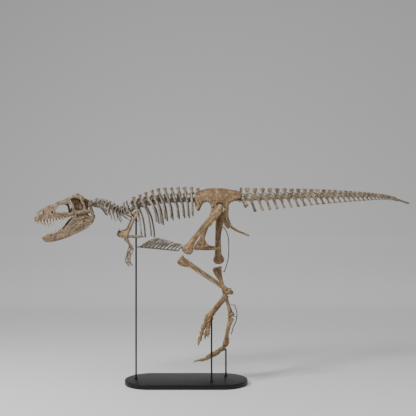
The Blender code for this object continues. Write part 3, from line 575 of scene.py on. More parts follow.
# ---- paths ----
class Path:
    """A smooth line through points, measured by its length."""

    STEPS = 24

    def __init__(self, points):
        knots = [Vector(point) for point in points]
        knots = [2 * knots[0] - knots[1]] + knots + [2 * knots[-1] - knots[-2]]
        self.line = []
        for a, b, c, d in zip(knots, knots[1:], knots[2:], knots[3:]):
            for step in range(self.STEPS):
                self.line.append(between(a, b, c, d, step / self.STEPS))
        self.line.append(knots[-2])
        self.reach = [0.0]
        for a, b in zip(self.line, self.line[1:]):
            self.reach.append(self.reach[-1] + (b - a).length)
        self.length = self.reach[-1]

    def at(self, distance):
        """The place at a distance along the line."""
        distance = min(max(distance, 0.0), self.length)
        i = next(k for k in range(1, len(self.reach)) if self.reach[k] >= distance - 1e-9)
        share = (distance - self.reach[i - 1]) / (self.reach[i] - self.reach[i - 1])
        return self.line[i - 1].lerp(self.line[i], share)

    def frame(self, distance):
        """Local axes at a distance: X along the path, Y level to the right side, Z up from it."""
        ahead = (self.at(distance + 0.02) - self.at(distance - 0.02)).normalized()
        right = Vector((0, 0, 1)).cross(ahead).normalized()
        matrix = Matrix((ahead, right, ahead.cross(right))).transposed().to_4x4()
        matrix.translation = self.at(distance)
        return matrix


def bone_frame(top, bottom):
    """Origin at a bone's top end, Z up along it, X to its rear and Y to the right side."""
    up = (Vector(top) - Vector(bottom)).normalized()
    rear = Vector((1, 0, 0))
    rear = (rear - up * up.dot(rear)).normalized()
    matrix = Matrix((rear, up.cross(rear), up)).transposed().to_4x4()
    matrix.translation = Vector(top)
    return matrix


# ---- stand ----
RODS = {"front": (-0.743, 0, 2.548), "left": (0.372, -0.186, 1.0), "right": (0.592, 0.179, 0.474)}
STRIPS = {
    "thigh": ((0.556, 0.19, 2.33), (0.608, 0.19, 2.235), (0.633, 0.19, 2.12), (0.633, 0.19, 1.9),
        (0.61, 0.19, 1.77), (0.566, 0.19, 1.64)),
    "shin": ((0.722, 0.185, 1.15), (0.752, 0.185, 1.06), (0.76, 0.185, 0.985), (0.744, 0.185, 0.9),
        (0.702, 0.185, 0.8), (0.676, 0.185, 0.7))}
# Where a pin starts on a strip, and how far forward it runs to the bone.
PINS = {
    "thigh": (((0.556, 0.19, 2.322), 0.03), ((0.57, 0.19, 1.65), 0.03)),
    "shin": (((0.724, 0.185, 1.144), 0.066), ((0.759, 0.185, 0.97), 0.11))}


def steel_piece(name, forms, node, slot):
    """A black piece of the stand, smooth but for its sharp edges."""
    data = mesh_of(forms)
    piece(name, data, black_steel(), node, slot=slot)
    data.set_sharp_from_angle(angle=math.radians(40))


def stand_base():
    """The long base plate with round ends and a softened edge."""
    sizes = bpy.context.scene.stand_sizes
    radius = sizes.base_width / 2
    straight = sizes.base_length / 2 - radius
    outline = []
    for end, start in ((straight, -math.pi / 2), (-straight, math.pi / 2)):
        for step in range(49):
            turn = start + math.pi * step / 48
            outline.append((end + radius * math.cos(turn), radius * math.sin(turn)))
    low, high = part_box("stand_base")
    base = slab(outline, (high.z - low.z) / 2, sizes.base_edge, smooth=False)
    flat = Matrix.Translation((0, 0, (low.z + high.z) / 2)) @ Matrix.Rotation(-math.pi / 2, 4, "X")
    steel_piece("base_plate", [base.placed(flat)], "stand_base", "steel_base")


def stand_rods():
    """The upright rods with their collars, and the two bent strips with their pins to the leg."""
    sizes = bpy.context.scene.stand_sizes
    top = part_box("stand_base")[1].z
    radius = sizes.rod_radius
    collar_radius = radius * 1.9
    for word, (x, y, end) in RODS.items():
        shaft = tube([(x, y, top, radius, radius), (x, y, end, radius, radius)], sides=32, step=0.2, tip=0.25)
        collar = tube([(x, y, top, collar_radius, collar_radius),
            (x, y, top + 0.01, collar_radius, collar_radius)], sides=32, step=0.1, tip=0.2)
        steel_piece(f"rod_{word}", [shaft, collar], f"stand_rod_{word}", "steel_rod")
    strip_half = (0.011, 0.0062)
    for word, line in STRIPS.items():
        strip = tube([point + strip_half for point in line], sides=20, step=0.02, power=5.0, tip=0.3)
        pins = [tube([(x + 0.002, y, z, 0.004, 0.004), (x - reach, y, z, 0.004, 0.004)], sides=16, step=0.02)
            for (x, y, z), reach in PINS[word]]
        steel_piece(f"strip_{word}", [strip] + pins, f"stand_brace_{word}", "steel_rod")


# ---- skull and lower jaw, in the skull's frame: origin at the jaw joint, x forward, y left, z up ----
JAW_JOINT = (-1.377, -0.2, 2.457)
# (forward, top, bottom, half width at top, middle and bottom, cheek wall)
SKULL_SECTIONS = (
    (-0.022, 0.222, 0.016, 0.06, 0.106, 0.148, 0.03), (0.035, 0.262, 0.034, 0.082, 0.126, 0.15, 0.024),
    (0.11, 0.326, 0.036, 0.094, 0.132, 0.146, 0.022), (0.18, 0.332, 0.038, 0.084, 0.12, 0.13, 0.022),
    (0.262, 0.3, 0.036, 0.058, 0.104, 0.114, 0.022), (0.35, 0.276, 0.024, 0.044, 0.088, 0.099, 0.022),
    (0.44, 0.254, 0.012, 0.034, 0.072, 0.084, 0.022), (0.6, 0.206, 0.004, 0.028, 0.056, 0.062, 0.022),
    (0.666, 0.18, 0.006, 0.026, 0.05, 0.053, 0.02), (0.718, 0.152, 0.012, 0.022, 0.042, 0.042, 0.018),
    (0.752, 0.118, 0.014, 0.016, 0.033, 0.032, 0.015),
    (0.774, 0.088, 0.018, 0.01, 0.024, 0.022, 0.012))
ANTORBITAL = ((0.497, 0.124), (0.463, 0.171), (0.424, 0.203), (0.355, 0.216), (0.292, 0.206), (0.271, 0.165),
    (0.277, 0.08), (0.368, 0.096), (0.44, 0.102))
ORBIT = ((0.256, 0.266), (0.196, 0.274), (0.138, 0.256), (0.124, 0.201), (0.112, 0.13), (0.13, 0.098),
    (0.19, 0.092), (0.232, 0.109), (0.246, 0.186))
TEMPORAL = ((0.086, 0.226), (0.04, 0.22), (0.02, 0.19), (0.04, 0.155), (0.03, 0.11), (0.06, 0.078),
    (0.084, 0.104), (0.076, 0.15))
NARIS = ((0.708, 0.125), (0.68, 0.152), (0.636, 0.154), (0.64, 0.131), (0.678, 0.112))
PROMAXILLARY = ((0.556, 0.114), (0.55, 0.132), (0.534, 0.138), (0.52, 0.128), (0.524, 0.108), (0.542, 0.102))
SKULL_ROWS = even([(row[0], 0, 0) + row[1:] for row in SKULL_SECTIONS], 0.012)


def skull_frame(pitch):
    """Axes at the jaw joint, with x along the snout: turned aside and lowered by a pitch in degrees."""
    return (Matrix.Translation(JAW_JOINT) @ Matrix.Rotation(math.radians(210), 4, "Z")
        @ Matrix.Rotation(math.radians(pitch), 4, "Y"))


def cheek_line(row, wall):
    """Outer half contour of a section from the jaw margin to the crown, drawn in by a wall thickness."""
    _, _, _, top, bottom, high, mid, low, cheek = row
    middle = bottom + 0.5 * (top - bottom)
    shoulder = top - 0.1 * (top - bottom)
    keys = [(low - cheek * 0.5, bottom), (low, bottom + 0.014),
        ((low + mid) / 2 + 0.002, (bottom + middle) / 2), (mid, middle),
        ((mid + high) / 2 + 0.004, (middle + shoulder) / 2), (high, shoulder), (high * 0.55, top - 0.005),
        (0, top)]
    drawn = []
    for i, (y, z) in enumerate(keys):
        rise = wall * (0.1 if i == 0 else 0.4 if i < 4 else 1.0)
        drawn.append((max(y - wall, 0.0 if i == 7 else 0.12 * y), z - rise if i > 3 else z + 0.2 * rise))
    return drawn


def cheek(x, z):
    """Half width of the skull's outside at a place of its side."""
    row = [np.interp(x, SKULL_ROWS[:, 0], SKULL_ROWS[:, k]) for k in range(SKULL_ROWS.shape[1])]
    line = np.array(cheek_line(row, 0.0))[1:]
    return float(np.interp(z, line[:, 1], line[:, 0]))


def wall_line(row, wall):
    """The half contour of a section as a fixed number of places."""
    line = even([(y, z, 0) for y, z in cheek_line(row, wall)], 0.012)
    share = np.linspace(0, 1, 26)
    return np.stack([np.interp(share, np.linspace(0, 1, len(line)), line[:, k]) for k in (0, 1)], axis=1)


def skull_shell():
    """The roof and both cheeks as one bent wall."""
    rings = []
    for row in SKULL_ROWS:
        out, into = wall_line(row, 0.0), wall_line(row, 0.014)
        ring = [(row[0], y, z) for y, z in out] + [(row[0], -y, z) for y, z in out[-2::-1]]
        ring += [(row[0], -y, z) for y, z in into] + [(row[0], y, z) for y, z in into[-2::-1]]
        rings.append(ring)
    points, faces = closed_skin(np.array(rings))
    marks = [(row[0], side * 0.08, 0.12) for row in SKULL_ROWS for side in SIDES]
    axes = [[(0, 1, 0), (0, 0, 1), (1, 0, 0)]] * len(marks)
    return Form(points, faces, marks, axes, [mark[0] + 0.4 * (mark[1] > 0) for mark in marks])


def rim(outline, side, size):
    """A raised edge round an opening of the cheek."""
    loop = smooth_loop(outline, 0.01)
    rows = [(x, cheek(x, z) - 0.003, z, size, size) for x, z in np.vstack([loop, loop[:2]])]
    return tube(rows, sides=10, step=0.012, tip=0.1, side=side)


def on_cheek(side, places, size, sunk=0.004):
    """A ridge on the cheek through places (forward, up, half width)."""
    rows = [(x, cheek(x, z) - sunk, z, half, size) for x, z, half in places]
    return tube(rows, sides=12, across=(0, 0, 1), step=0.012, side=side)


def fang(x, y, z, size, radius, back, turn):
    """A curved, slightly flattened tooth."""
    return tube([(x + 0.002, y, z - turn * 0.016, radius * 0.85, radius * 1.2),
        (x, y, z, radius, radius * 1.35),
        (x - back * 0.1, y, z + turn * size * 0.35, radius * 0.88, radius * 1.15),
        (x - back * 0.45, y, z + turn * size * 0.72, radius * 0.52, radius * 0.7),
        (x - back, y, z + turn * size, radius * 0.1, radius * 0.1)], sides=14, step=0.005)


def row_of_teeth(name, fangs, node):
    """The teeth of a jaw as one piece."""
    data = mesh_of(fangs)
    grained(data, fangs)
    piece(name, data, enamel(), node, slot="bone_pale")


def cut_through(outline, depth, side=0, inner=0.03):
    """A cutter for an opening: right through, or from one cheek inwards."""
    block = slab(outline, depth, 0.0005)
    return block.placed(Matrix.Translation((0, side * (inner + depth), 0)))


def skull_inside():
    """Palate, braincase, back of the head and the bars round the openings."""
    forms = [tube([(0.64, 0, 0.05, 0.034, 0.03), (0.71, 0, 0.048, 0.034, 0.028),
        (0.764, 0, 0.05, 0.017, 0.026)], sides=20, step=0.012),
        tube([(0.72, 0, 0.04, 0.008, 0.01), (0.4, 0, 0.078, 0.012, 0.012), (0.1, 0, 0.096, 0.02, 0.012)]),
        tube([(-0.032, 0, 0.165, 0.036, 0.036), (0.02, 0, 0.178, 0.045, 0.06), (0.1, 0, 0.205, 0.042, 0.07),
            (0.18, 0, 0.24, 0.034, 0.056), (0.25, 0, 0.268, 0.024, 0.022)], sides=22),
        tube([(-0.016, -0.122, 0.158, 0.02, 0.01), (-0.018, -0.06, 0.178, 0.03, 0.013),
            (-0.02, 0, 0.182, 0.04, 0.016), (-0.018, 0.06, 0.178, 0.03, 0.013),
            (-0.016, 0.122, 0.158, 0.02, 0.01)], across=(0, 0, 1)),
        tube([(-0.01, -0.098, 0.176, 0.014, 0.012), (-0.02, -0.05, 0.216, 0.014, 0.013),
            (-0.024, 0, 0.226, 0.016, 0.014), (-0.02, 0.05, 0.216, 0.014, 0.013),
            (-0.01, 0.098, 0.176, 0.014, 0.012)], across=(0, 0, 1)),
        knob((-0.05, 0, 0.148), 0.018)]
    for side in SIDES:
        forms += [tube([(0.74, 0.022, 0.026, 0.01, 0.012), (0.6, 0.046, 0.022, 0.013, 0.016),
            (0.44, 0.064, 0.028, 0.014, 0.016), (0.26, 0.094, 0.05, 0.013, 0.014)], side=side),
            tube([(0.42, 0.012, 0.078, 0.014, 0.008), (0.2, 0.05, 0.08, 0.022, 0.007),
                (0.06, 0.07, 0.076, 0.01, 0.02), (0.005, 0.098, 0.07, 0.008, 0.024)], side=side),
            tube([(0.004, 0.108, 0.19, 0.013, 0.012), (-0.006, 0.116, 0.105, 0.013, 0.014),
                (-0.002, 0.124, 0.034, 0.017, 0.016)], side=side),
            tube([(0, 0.094, 0.024, 0.014, 0.013), (0, 0.122, 0.02, 0.016, 0.015),
                (0, 0.147, 0.024, 0.014, 0.013)], across=(0, 0, 1), side=side),
            tube([(0.03, 0.012, 0.15, 0.014, 0.014), (0.052, 0.034, 0.086, 0.012, 0.012)],
                across=(1, 0, 0), side=side),
            tube([(0.11, 0.06, 0.12, 0.006, 0.014), (0.13, 0.05, 0.2, 0.006, 0.012),
                (0.14, 0.04, 0.27, 0.008, 0.014)], side=side),
            tube([(0.248, 0.04, 0.118, 0.006, 0.016), (0.205, 0.036, 0.136, 0.007, 0.046),
                (0.15, 0.042, 0.14, 0.007, 0.052), (0.1, 0.052, 0.118, 0.006, 0.026)], side=side)]
    return forms


def skull_outside(side):
    """Ridges, brow horn and swollen rims of one cheek."""
    forms = [rim(ANTORBITAL, side, 0.0045), rim(ORBIT, side, 0.0055), rim(NARIS, side, 0.0045),
        on_cheek(side, ((0.262, 0.262, 0.01), (0.258, 0.17, 0.009), (0.264, 0.086, 0.012)), 0.008, 0.003),
        on_cheek(side, ((0.128, 0.272, 0.014), (0.104, 0.2, 0.011), (0.098, 0.11, 0.011)), 0.008, 0.002),
        on_cheek(side, ((0.31, 0.066, 0.012), (0.21, 0.068, 0.013), (0.12, 0.072, 0.014),
            (0.02, 0.056, 0.014)), 0.008, 0.003),
        on_cheek(side, ((0.09, 0.248, 0.012), (0.04, 0.236, 0.012), (-0.01, 0.196, 0.011)), 0.009, 0.001),
        on_cheek(side, ((0.5, 0.09, 0.006), (0.4, 0.076, 0.007), (0.29, 0.066, 0.007)), 0.006, 0.001),
        on_cheek(side, ((0.735, 0.1, 0.007), (0.722, 0.05, 0.008), (0.728, 0.026, 0.006)), 0.005, 0.002),
        tube([(0.268, 0.066, 0.28, 0.012, 0.01), (0.205, 0.086, 0.292, 0.014, 0.014),
            (0.14, 0.1, 0.276, 0.013, 0.013)], side=side),
        knob((0.158, side * 0.08, 0.322), 0.026, (1.15, 0.62, 0.82)),
        knob((0.225, side * 0.066, 0.3), 0.018, (1.4, 0.6, 0.6))]
    for k in range(7):
        x = 0.33 + 0.048 * k
        z = float(np.interp(x, SKULL_ROWS[:, 0], SKULL_ROWS[:, 3]))
        forms.append(knob((x, side * (0.01 + 0.004 * (k % 2)), z - 0.006), 0.009, (1.5, 0.8, 0.8)))
    return forms


def skull():
    """The skull with its openings and nerve holes, and the upper teeth."""
    sizes = bpy.context.scene.skull_sizes
    seat = skull_frame(sizes.skull_pitch)
    cutters = [cut_through(ANTORBITAL, 0.3), cut_through(NARIS, 0.3),
        cut_through(PROMAXILLARY, 0.1, LEFT, 0.036), cut_through(PROMAXILLARY, 0.1, RIGHT, 0.036)]
    for side in SIDES:
        cutters += [cut_through(ORBIT, 0.1, side, 0.055), cut_through(TEMPORAL, 0.1, side, 0.06)]
        cutters.append(tube([(0.046, 0.052, 0.18, 0.017, 0.03), (0.046, 0.052, 0.33, 0.017, 0.03)],
            step=0.05, side=side))
        for k in range(9):
            x = 0.7 - 0.045 * k
            z = 0.034 + 0.01 * (k % 2)
            y = side * cheek(x, z)
            cutters.append(tube([(x, y * 0.86, z, 0.0035, 0.0028), (x, y * 1.2, z, 0.0035, 0.0028)], sides=8,
                step=0.05))
    inside = placed(skull_inside() + both(skull_outside), seat)
    bone("skull_bones", [skull_shell().placed(seat)], "skull", "skull", voxel=sizes.voxel,
        cutters=placed(cutters, seat), extra=inside, lumps=(0.0013, 0.0007))
    fangs = []
    for side in SIDES:
        for i in range(sizes.upper_teeth):
            share = i / (sizes.upper_teeth - 1)
            x = 0.758 - 0.52 * share
            wide = 0.022 + 0.08 * ((0.758 - x) / 0.5) ** 0.62
            z = 0.013 + 0.02 * max(0.0, share - 0.6) / 0.4
            long = 0.024 + 0.062 * math.exp(-((share - 0.28) / 0.17) ** 2) + 0.01 * (1 - share)
            long *= (1.0, 0.72, 0.96, 0.6, 0.88)[(i * 3 + (side > 0)) % 5]
            radius = 0.0052 + 0.0038 * math.exp(-((share - 0.3) / 0.25) ** 2)
            fangs.append(fang(x, side * wide, z, long, radius, 0.006 + long * 0.16, -1))
    row_of_teeth("upper_teeth", placed(fangs, seat), "skull")


# (forward, out, top, bottom, half thickness) along each side of the lower jaw.
JAW_SECTIONS = ((-0.02, 0.128, 0.01, -0.02, 0.016), (0.01, 0.128, -0.006, -0.06, 0.022),
    (0.062, 0.116, 0.038, -0.11, 0.014), (0.135, 0.108, 0.078, -0.136, 0.01),
    (0.24, 0.098, 0.074, -0.146, 0.01), (0.36, 0.084, 0.014, -0.147, 0.013),
    (0.44, 0.072, -0.032, -0.15, 0.015), (0.56, 0.05, -0.038, -0.144, 0.017),
    (0.68, 0.026, -0.002, -0.116, 0.018), (0.74, 0.012, -0.008, -0.056, 0.012))


def jaw_side(side):
    """One side of the lower jaw, with its ridges and the shelf within."""
    rows = [(x, out, (top + bottom) / 2, thick, (top - bottom) / 2)
        for x, out, top, bottom, thick in JAW_SECTIONS]
    return [tube(rows, sides=32, step=0.012, power=2.5, tip=0.8, side=side),
        tube([(0.004, 0.132, -0.006, 0.014, 0.01), (0.08, 0.126, 0.01, 0.01, 0.012),
            (0.175, 0.11, 0.022, 0.006, 0.007)], side=side),
        tube([(0.03, 0.128, -0.08, 0.01, 0.012), (0.14, 0.112, -0.124, 0.01, 0.01),
            (0.3, 0.094, -0.138, 0.01, 0.01), (0.5, 0.062, -0.138, 0.01, 0.01),
            (0.66, 0.032, -0.112, 0.01, 0.01)], side=side),
        tube([(0.29, 0.1, 0.04, 0.006, 0.012), (0.42, 0.08, -0.02, 0.008, 0.012),
            (0.56, 0.056, -0.04, 0.01, 0.01), (0.69, 0.028, -0.012, 0.01, 0.01)], side=side),
        tube([(0.2, 0.09, -0.1, 0.006, 0.03), (0.42, 0.062, -0.104, 0.006, 0.026),
            (0.6, 0.03, -0.094, 0.008, 0.02)], side=side),
        knob((0, side * 0.124, -0.002), 0.021, (0.9, 1.25, 0.62))]


def jaw_at(x, column):
    """A value of the jaw's sections at a place along it."""
    return float(np.interp(x, [row[0] for row in JAW_SECTIONS], [row[column] for row in JAW_SECTIONS]))


def mandible():
    """The lower jaw with its openings, nerve holes, chin and teeth."""
    sizes = bpy.context.scene.skull_sizes
    seat = skull_frame(sizes.jaw_pitch)
    chin = tube([(0.722, -0.016, -0.036, 0.012, 0.034), (0.73, 0, -0.038, 0.012, 0.036),
        (0.722, 0.016, -0.036, 0.012, 0.034)], across=(1, 0, 0))
    cutters = []
    for side in SIDES:
        for x, z, long, high in ((0.144, -0.033, 0.022, 0.012), (0.196, 0.052, 0.014, 0.009),
                (0.166, -0.106, 0.013, 0.008), (0.262, -0.03, 0.024, 0.007)):
            cutters.append(tube([(x, 0.06, z, high, long), (x, 0.16, z, high, long)], step=0.05,
                across=(0, 0, 1), side=side))
        for k in range(8):
            x = 0.7 - 0.04 * k
            out = jaw_at(x, 1) + jaw_at(x, 4)
            z = jaw_at(x, 2) - 0.03
            cutters.append(tube([(x, out - 0.006, z, 0.003, 0.004), (x, out + 0.03, z, 0.003, 0.004)],
                sides=8, step=0.05, across=(0, 0, 1), side=side))
    forms = placed(both(jaw_side) + [chin], seat)
    bone("jaw_bones", forms, "skull", "mandible", voxel=sizes.voxel, cutters=placed(cutters, seat),
        lumps=(0.0013, 0.0007))
    fangs = []
    for side in SIDES:
        for i in range(sizes.lower_teeth):
            share = i / (sizes.lower_teeth - 1)
            x = 0.722 - 0.34 * share
            wide = jaw_at(x, 1)
            z = jaw_at(x, 2) - 0.004
            long = 0.016 + 0.022 * math.sin(math.pi * (0.22 + 0.7 * share))
            long *= (1.0, 0.7, 0.92, 0.6)[(i * 3) % 4]
            fangs.append(fang(x, side * wide, z, long, 0.0058, 0.008, 1))
    row_of_teeth("lower_teeth", placed(fangs, seat), "mandible")


# ---- backbone ----
OCCIPUT = (-1.356, -0.2, 2.622)
NECK_POINTS = ((-1.29, -0.17, 2.658), (-1.212, -0.13, 2.648), (-1.12, -0.08, 2.609), (-1.054, -0.04, 2.562),
    (-0.999, -0.015, 2.53))
BACK_POINTS = ((-0.943, 0, 2.522), (-0.862, 0, 2.551), (-0.78, 0, 2.588), (-0.588, 0, 2.655),
    (-0.396, 0, 2.687), (-0.107, 0, 2.706), (0.222, 0, 2.719))
SACRUM_POINTS = ((0.222, 0, 2.719), (0.5, 0, 2.727), (0.772, 0, 2.734))
TAIL_POINTS = ((0.772, 0, 2.734), (1.5, 0.05, 2.766), (2.167, 0.2, 2.8), (2.855, 0.45, 2.828),
    (3.256, 0.65, 2.824), (3.625, 0.85, 2.757))
TAIL_SPLITS = (8, 15, 24, 36)
SPINE_TOPS = ((-0.79, 0, 2.758), (-0.618, 0, 2.824), (-0.43, 0, 2.881), (-0.237, 0, 2.898),
    (0.063, 0, 2.9), (0.166, 0, 2.884))
RIB_TIPS = ((-0.635, 0.23, 2.172), (-0.492, 0.22, 2.168), (-0.423, 0.175, 2.379), (-0.354, 0.175, 2.356),
    (-0.295, 0.19, 2.418), (-0.209, 0.19, 2.432), (-0.114, 0.185, 2.447), (-0.032, 0.18, 2.461),
    (0.036, 0.17, 2.461), (0.094, 0.16, 2.49))
RIB_START_HEIGHT = 0.1
# A rib from its knuckle to its tip, as shares of its reach: (along, spread, down, thickness).
RIB_COURSE = ((0.1, 0.36, -0.01, 1.05), (0.24, 0.6, 0.04, 1.22), (0.36, 0.78, 0.14, 1.2),
    (0.55, 0.9, 0.28, 1.12), (0.74, 0.98, 0.44, 1.02), (0.85, 1.02, 0.6, 0.96), (0.93, 1.03, 0.76, 0.94),
    (1.0, 1.0, 1.0, 1.02))


def centrum(half, r, waist=0.74, flat=1.0):
    """Spool-shaped body of a vertebra, waisted at its sides and beneath."""
    rows = [(-half, 0, 0, r * flat, r), (-0.8 * half, 0, 0, 0.99 * r * flat, 0.97 * r),
        (-0.4 * half, 0, 0.06 * r, (waist + 0.07) * r * flat, (waist + 0.1) * r),
        (0, 0, 0.09 * r, waist * r * flat, (waist + 0.05) * r),
        (0.4 * half, 0, 0.06 * r, (waist + 0.07) * r * flat, (waist + 0.1) * r),
        (0.8 * half, 0, 0, 0.99 * r * flat, 0.97 * r), (half, 0, 0, r * flat, r)]
    return tube(rows, sides=26, step=half * 0.16, tip=0.1)


def yoke(half, r, height, wide):
    """The arch over a vertebra's body, up to the roots of its spine and side processes."""
    return tube([(0, 0, 0.5 * r, wide, 0.62 * half), (0, 0, (0.5 * r + height) / 2, wide * 0.82, 0.5 * half),
        (0, 0, height, wide * 0.7, 0.58 * half)], sides=20, power=2.8)


def joints_of_arch(half, r, low, out, thick, reach=1.18):
    """The two pairs of joint processes that lap over the next vertebrae."""
    forms = []
    for side in SIDES:
        forms.append(tube([(-0.2 * half, out * 0.7, low, thick, thick * 0.7),
            (-0.8 * half, out, low + 0.18 * r, thick, thick * 0.6),
            (-reach * half, out * 1.05, low + 0.4 * r, thick * 0.8, thick * 0.4)], sides=12, side=side))
        forms.append(tube([(0.2 * half, out * 0.6, low + 0.25 * r, thick, thick * 0.7),
            (0.75 * half, out * 0.8, low + 0.52 * r, thick, thick * 0.6),
            (reach * half, out * 0.9, low + 0.66 * r, thick * 0.8, thick * 0.4)], sides=12, side=side))
    return forms


def spine_blade(foot, top, half_foot, half_top, wide, cap):
    """A neural spine with a swollen, roughened top."""
    foot, top = Vector(foot), Vector(top)
    rows = [(*foot, wide * 1.2, half_foot), (*foot.lerp(top, 0.3), wide * 0.8, half_foot * 0.86),
        (*foot.lerp(top, 0.7), wide * 0.78, half_top * 0.9), (*foot.lerp(top, 0.93), wide * cap, half_top),
        (*top, wide * cap * 0.85, half_top * 0.94)]
    return tube(rows, sides=20, power=2.7, step=0.012, tip=0.35)


def neck_vertebra(place, half, r, top, i, count):
    """A short neck vertebra with wide joints, a low knobbed spine and its pair of long thin ribs."""
    back = i >= 9
    forms = [centrum(half, r, 0.74, 1.1), yoke(half, r, 1.55 * r, 0.62 * r),
        tube([(0, 0, 1.2 * r, 0.3 * r, 0.62 * half),
            (0.002 + 0.01 * back, 0, (1.2 * r + top) / 2, 0.26 * r, 0.56 * half),
            (0.004 + 0.02 * back, 0, top - 0.01, 0.42 * r, (0.8 - 0.1 * back) * half),
            (0.004 + 0.02 * back, 0, top, 0.36 * r, (0.72 - 0.1 * back) * half)], power=2.6, step=0.006,
            tip=0.4)]
    forms += joints_of_arch(half, r, 1.05 * r, 0.95 * r, 0.3 * r, 1.22)
    for side in SIDES:
        forms.append(tube([(0.1 * half, 0.7 * r, 1.35 * r, 0.3 * half, 0.25 * r),
            (-0.05 * half, 1.5 * r, 0.85 * r, 0.38 * half, 0.21 * r),
            (-0.15 * half, 2.05 * r, 0.15 * r, 0.42 * half, 0.19 * r)], across=(1, 0, 0), sides=14,
            side=side))
        out, low = 0.055 + 0.003 * i, (0.152 - 0.005 * i if not back else 0.2)
        long = (0.035 if i in (4, count - 1) else 0.112) + 0.01 * side
        forms.append(tube([(-0.34 * half, 0.85 * r, -0.25 * r, 0.007, 0.01),
            (-0.2 * half, 1.6 * r, -0.05 * r, 0.008, 0.013),
            (0.16 * half, max(out * 0.9, 1.7 * r), -low * 0.22, 0.007, 0.013),
            (long * 0.55, out, -low * 0.62, 0.0062, 0.01),
            (long, out, -low, 0.0045, 0.0062)], sides=12, side=side))
    return placed(forms, place)


def neck():
    """The neck's vertebrae with their ribs, in a front and a rear piece."""
    sizes = bpy.context.scene.spine_sizes
    path = Path((OCCIPUT,) + NECK_POINTS + BACK_POINTS)
    start = min(range(len(path.line)), key=lambda k: (path.line[k] - Vector(BACK_POINTS[2])).length)
    end = path.reach[start] - 0.045
    count = 11
    joints = [end * i / count for i in range(count + 1)]
    for name, first, last in (("front", 0, 5), ("rear", 5, count)):
        forms = []
        for i in range(first, last):
            place = path.frame((joints[i] + joints[i + 1]) / 2)
            half = (joints[i + 1] - joints[i]) / 2 - sizes.disc_gap / 2
            top = 0.056 + 0.0056 * i + (0.035 if i >= 9 else 0.0)
            forms += neck_vertebra(place, half, 0.031 + 0.0011 * i, top, i, count)
        bone(f"neck_bones_{name}", forms, "grey", f"neck_{name}", voxel=sizes.voxel, lumps=(0.0012, 0.0006))


def back_vertebra(place, half, r, top, side_reach):
    """A back vertebra, as its body and its arch with side processes and a T-topped spine."""
    height = RIB_START_HEIGHT
    body = [centrum(half, r, 0.66), yoke(half, r, height, 0.02)]
    head = Vector(top)
    foot = Vector((min(0.03, head.x + 0.042), 0, height * 0.8))
    arch = [tube([(*foot, 0.011, 0.02), (*foot.lerp(head, 0.35), 0.009, 0.018),
        (*foot.lerp(head, 0.62), 0.0095, 0.02), (*foot.lerp(head, 0.8), 0.013, 0.027),
        (*foot.lerp(head, 0.95), 0.018, 0.0315),
        (*head, 0.0165, 0.03)], sides=20, power=2.8, step=0.01, tip=0.3)]
    arch += joints_of_arch(half, r, height * 0.8, 0.022, 0.009, 1.1)
    for side in SIDES:
        arch.append(tube([(0.006, 0.01, height, 0.024, 0.012),
            (0.01, side_reach * 0.6, height + 0.004, 0.019, 0.01),
            (0.012, side_reach, height, 0.02, 0.01)], across=(1, 0, 0), sides=14, power=2.5, side=side))
        ridge = foot.lerp(head, 0.5)
        arch.append(tube([(*ridge, 0.01, 0.007),
            (ridge.x * 0.5 + 0.008, side * side_reach * 0.45, height + 0.022, 0.012, 0.006),
            (0.012, side * side_reach * 0.9, height + 0.004, 0.012, 0.006)], across=(1, 0, 0), sides=12))
        body.append(tube([(0.004, 0.026, 0.03, 0.01, 0.005), (0.006, 0.044, 0.066, 0.008, 0.0045),
            (0.008, side_reach * 0.75, height - 0.006, 0.012, 0.005)], across=(1, 0, 0), sides=12, side=side))
    return placed(body, place), placed(arch, place)


def rib(root, tip, side):
    """A rib: head on the vertebra's body, knuckle on its side process, then a long curved shaft."""
    drop = root.z + RIB_START_HEIGHT - tip.z
    width = bpy.context.scene.trunk_sizes.rib_width
    rows = [(root.x + (tip.x - root.x) * along, side * tip.y * spread,
        root.z + RIB_START_HEIGHT - drop * down, width * thick, width * 0.6 * thick)
        for along, spread, down, thick in RIB_COURSE]
    head = [(root.x - 0.012, side * 0.036, root.z + 0.036, 0.011, 0.009),
        (root.x + 0.002, side * 0.06, root.z + 0.06, 0.009, 0.007), (*rows[1][:3], 0.01, 0.008)]
    return [tube(rows, sides=16, across=(1, 0, 0), step=0.014, power=2.3, tip=0.8),
        tube(head, sides=12, across=(1, 0, 0)),
        knob((rows[0][0], rows[0][1], rows[0][2] + 0.002), 0.014, (1.1, 1.0, 0.8))]


def rib_cage():
    """The back's vertebrae, as bodies and arches, and the ribs of each side."""
    sizes = bpy.context.scene.spine_sizes
    path, tops = Path(BACK_POINTS), Path(SPINE_TOPS)
    start, end, count = 0.136, path.length - 0.005, 11
    joints = [start + (end - start) * i / count for i in range(count + 1)]
    bodies, arches, ribs = [], [], {LEFT: [], RIGHT: []}
    for i in range(count):
        middle = (joints[i] + joints[i + 1]) / 2
        root, top = path.at(middle), tops.at(tops.length * i / (count - 1))
        half = (joints[1] - joints[0]) / 2 - sizes.disc_gap / 2
        place = path.frame(middle)
        local = place.inverted() @ (top + Vector((0.016 * max(0.0, 1 - i / 3), 0, 0)))
        reach = 0.44 * RIB_TIPS[min(i, 9)][1] if i < 10 else 0.06
        body, arch = back_vertebra(place, half, 0.038 + 0.0004 * i, local, reach)
        bodies += body
        arches += arch
        if i < len(RIB_TIPS):
            for side in SIDES:
                ribs[side] += rib(root, Vector(RIB_TIPS[i]), side)
    cages = ("rib_cage_left", "rib_cage_right")
    # The vertebral bodies take the dark finish: painted shade under the ribs and arches.
    bone("back_bodies", bodies, "dark", *cages, voxel=sizes.voxel, lumps=(0.0014, 0.0006))
    bone("back_arches", arches, "tail", *cages, voxel=sizes.voxel, lumps=(0.0014, 0.0006))
    for side in SIDES:
        bone(f"ribs_{SIDE_NAME[side]}", ribs[side], "grey", f"rib_cage_{SIDE_NAME[side]}",
            voxel=sizes.voxel * 0.85, lumps=(0.0008, 0.0004))


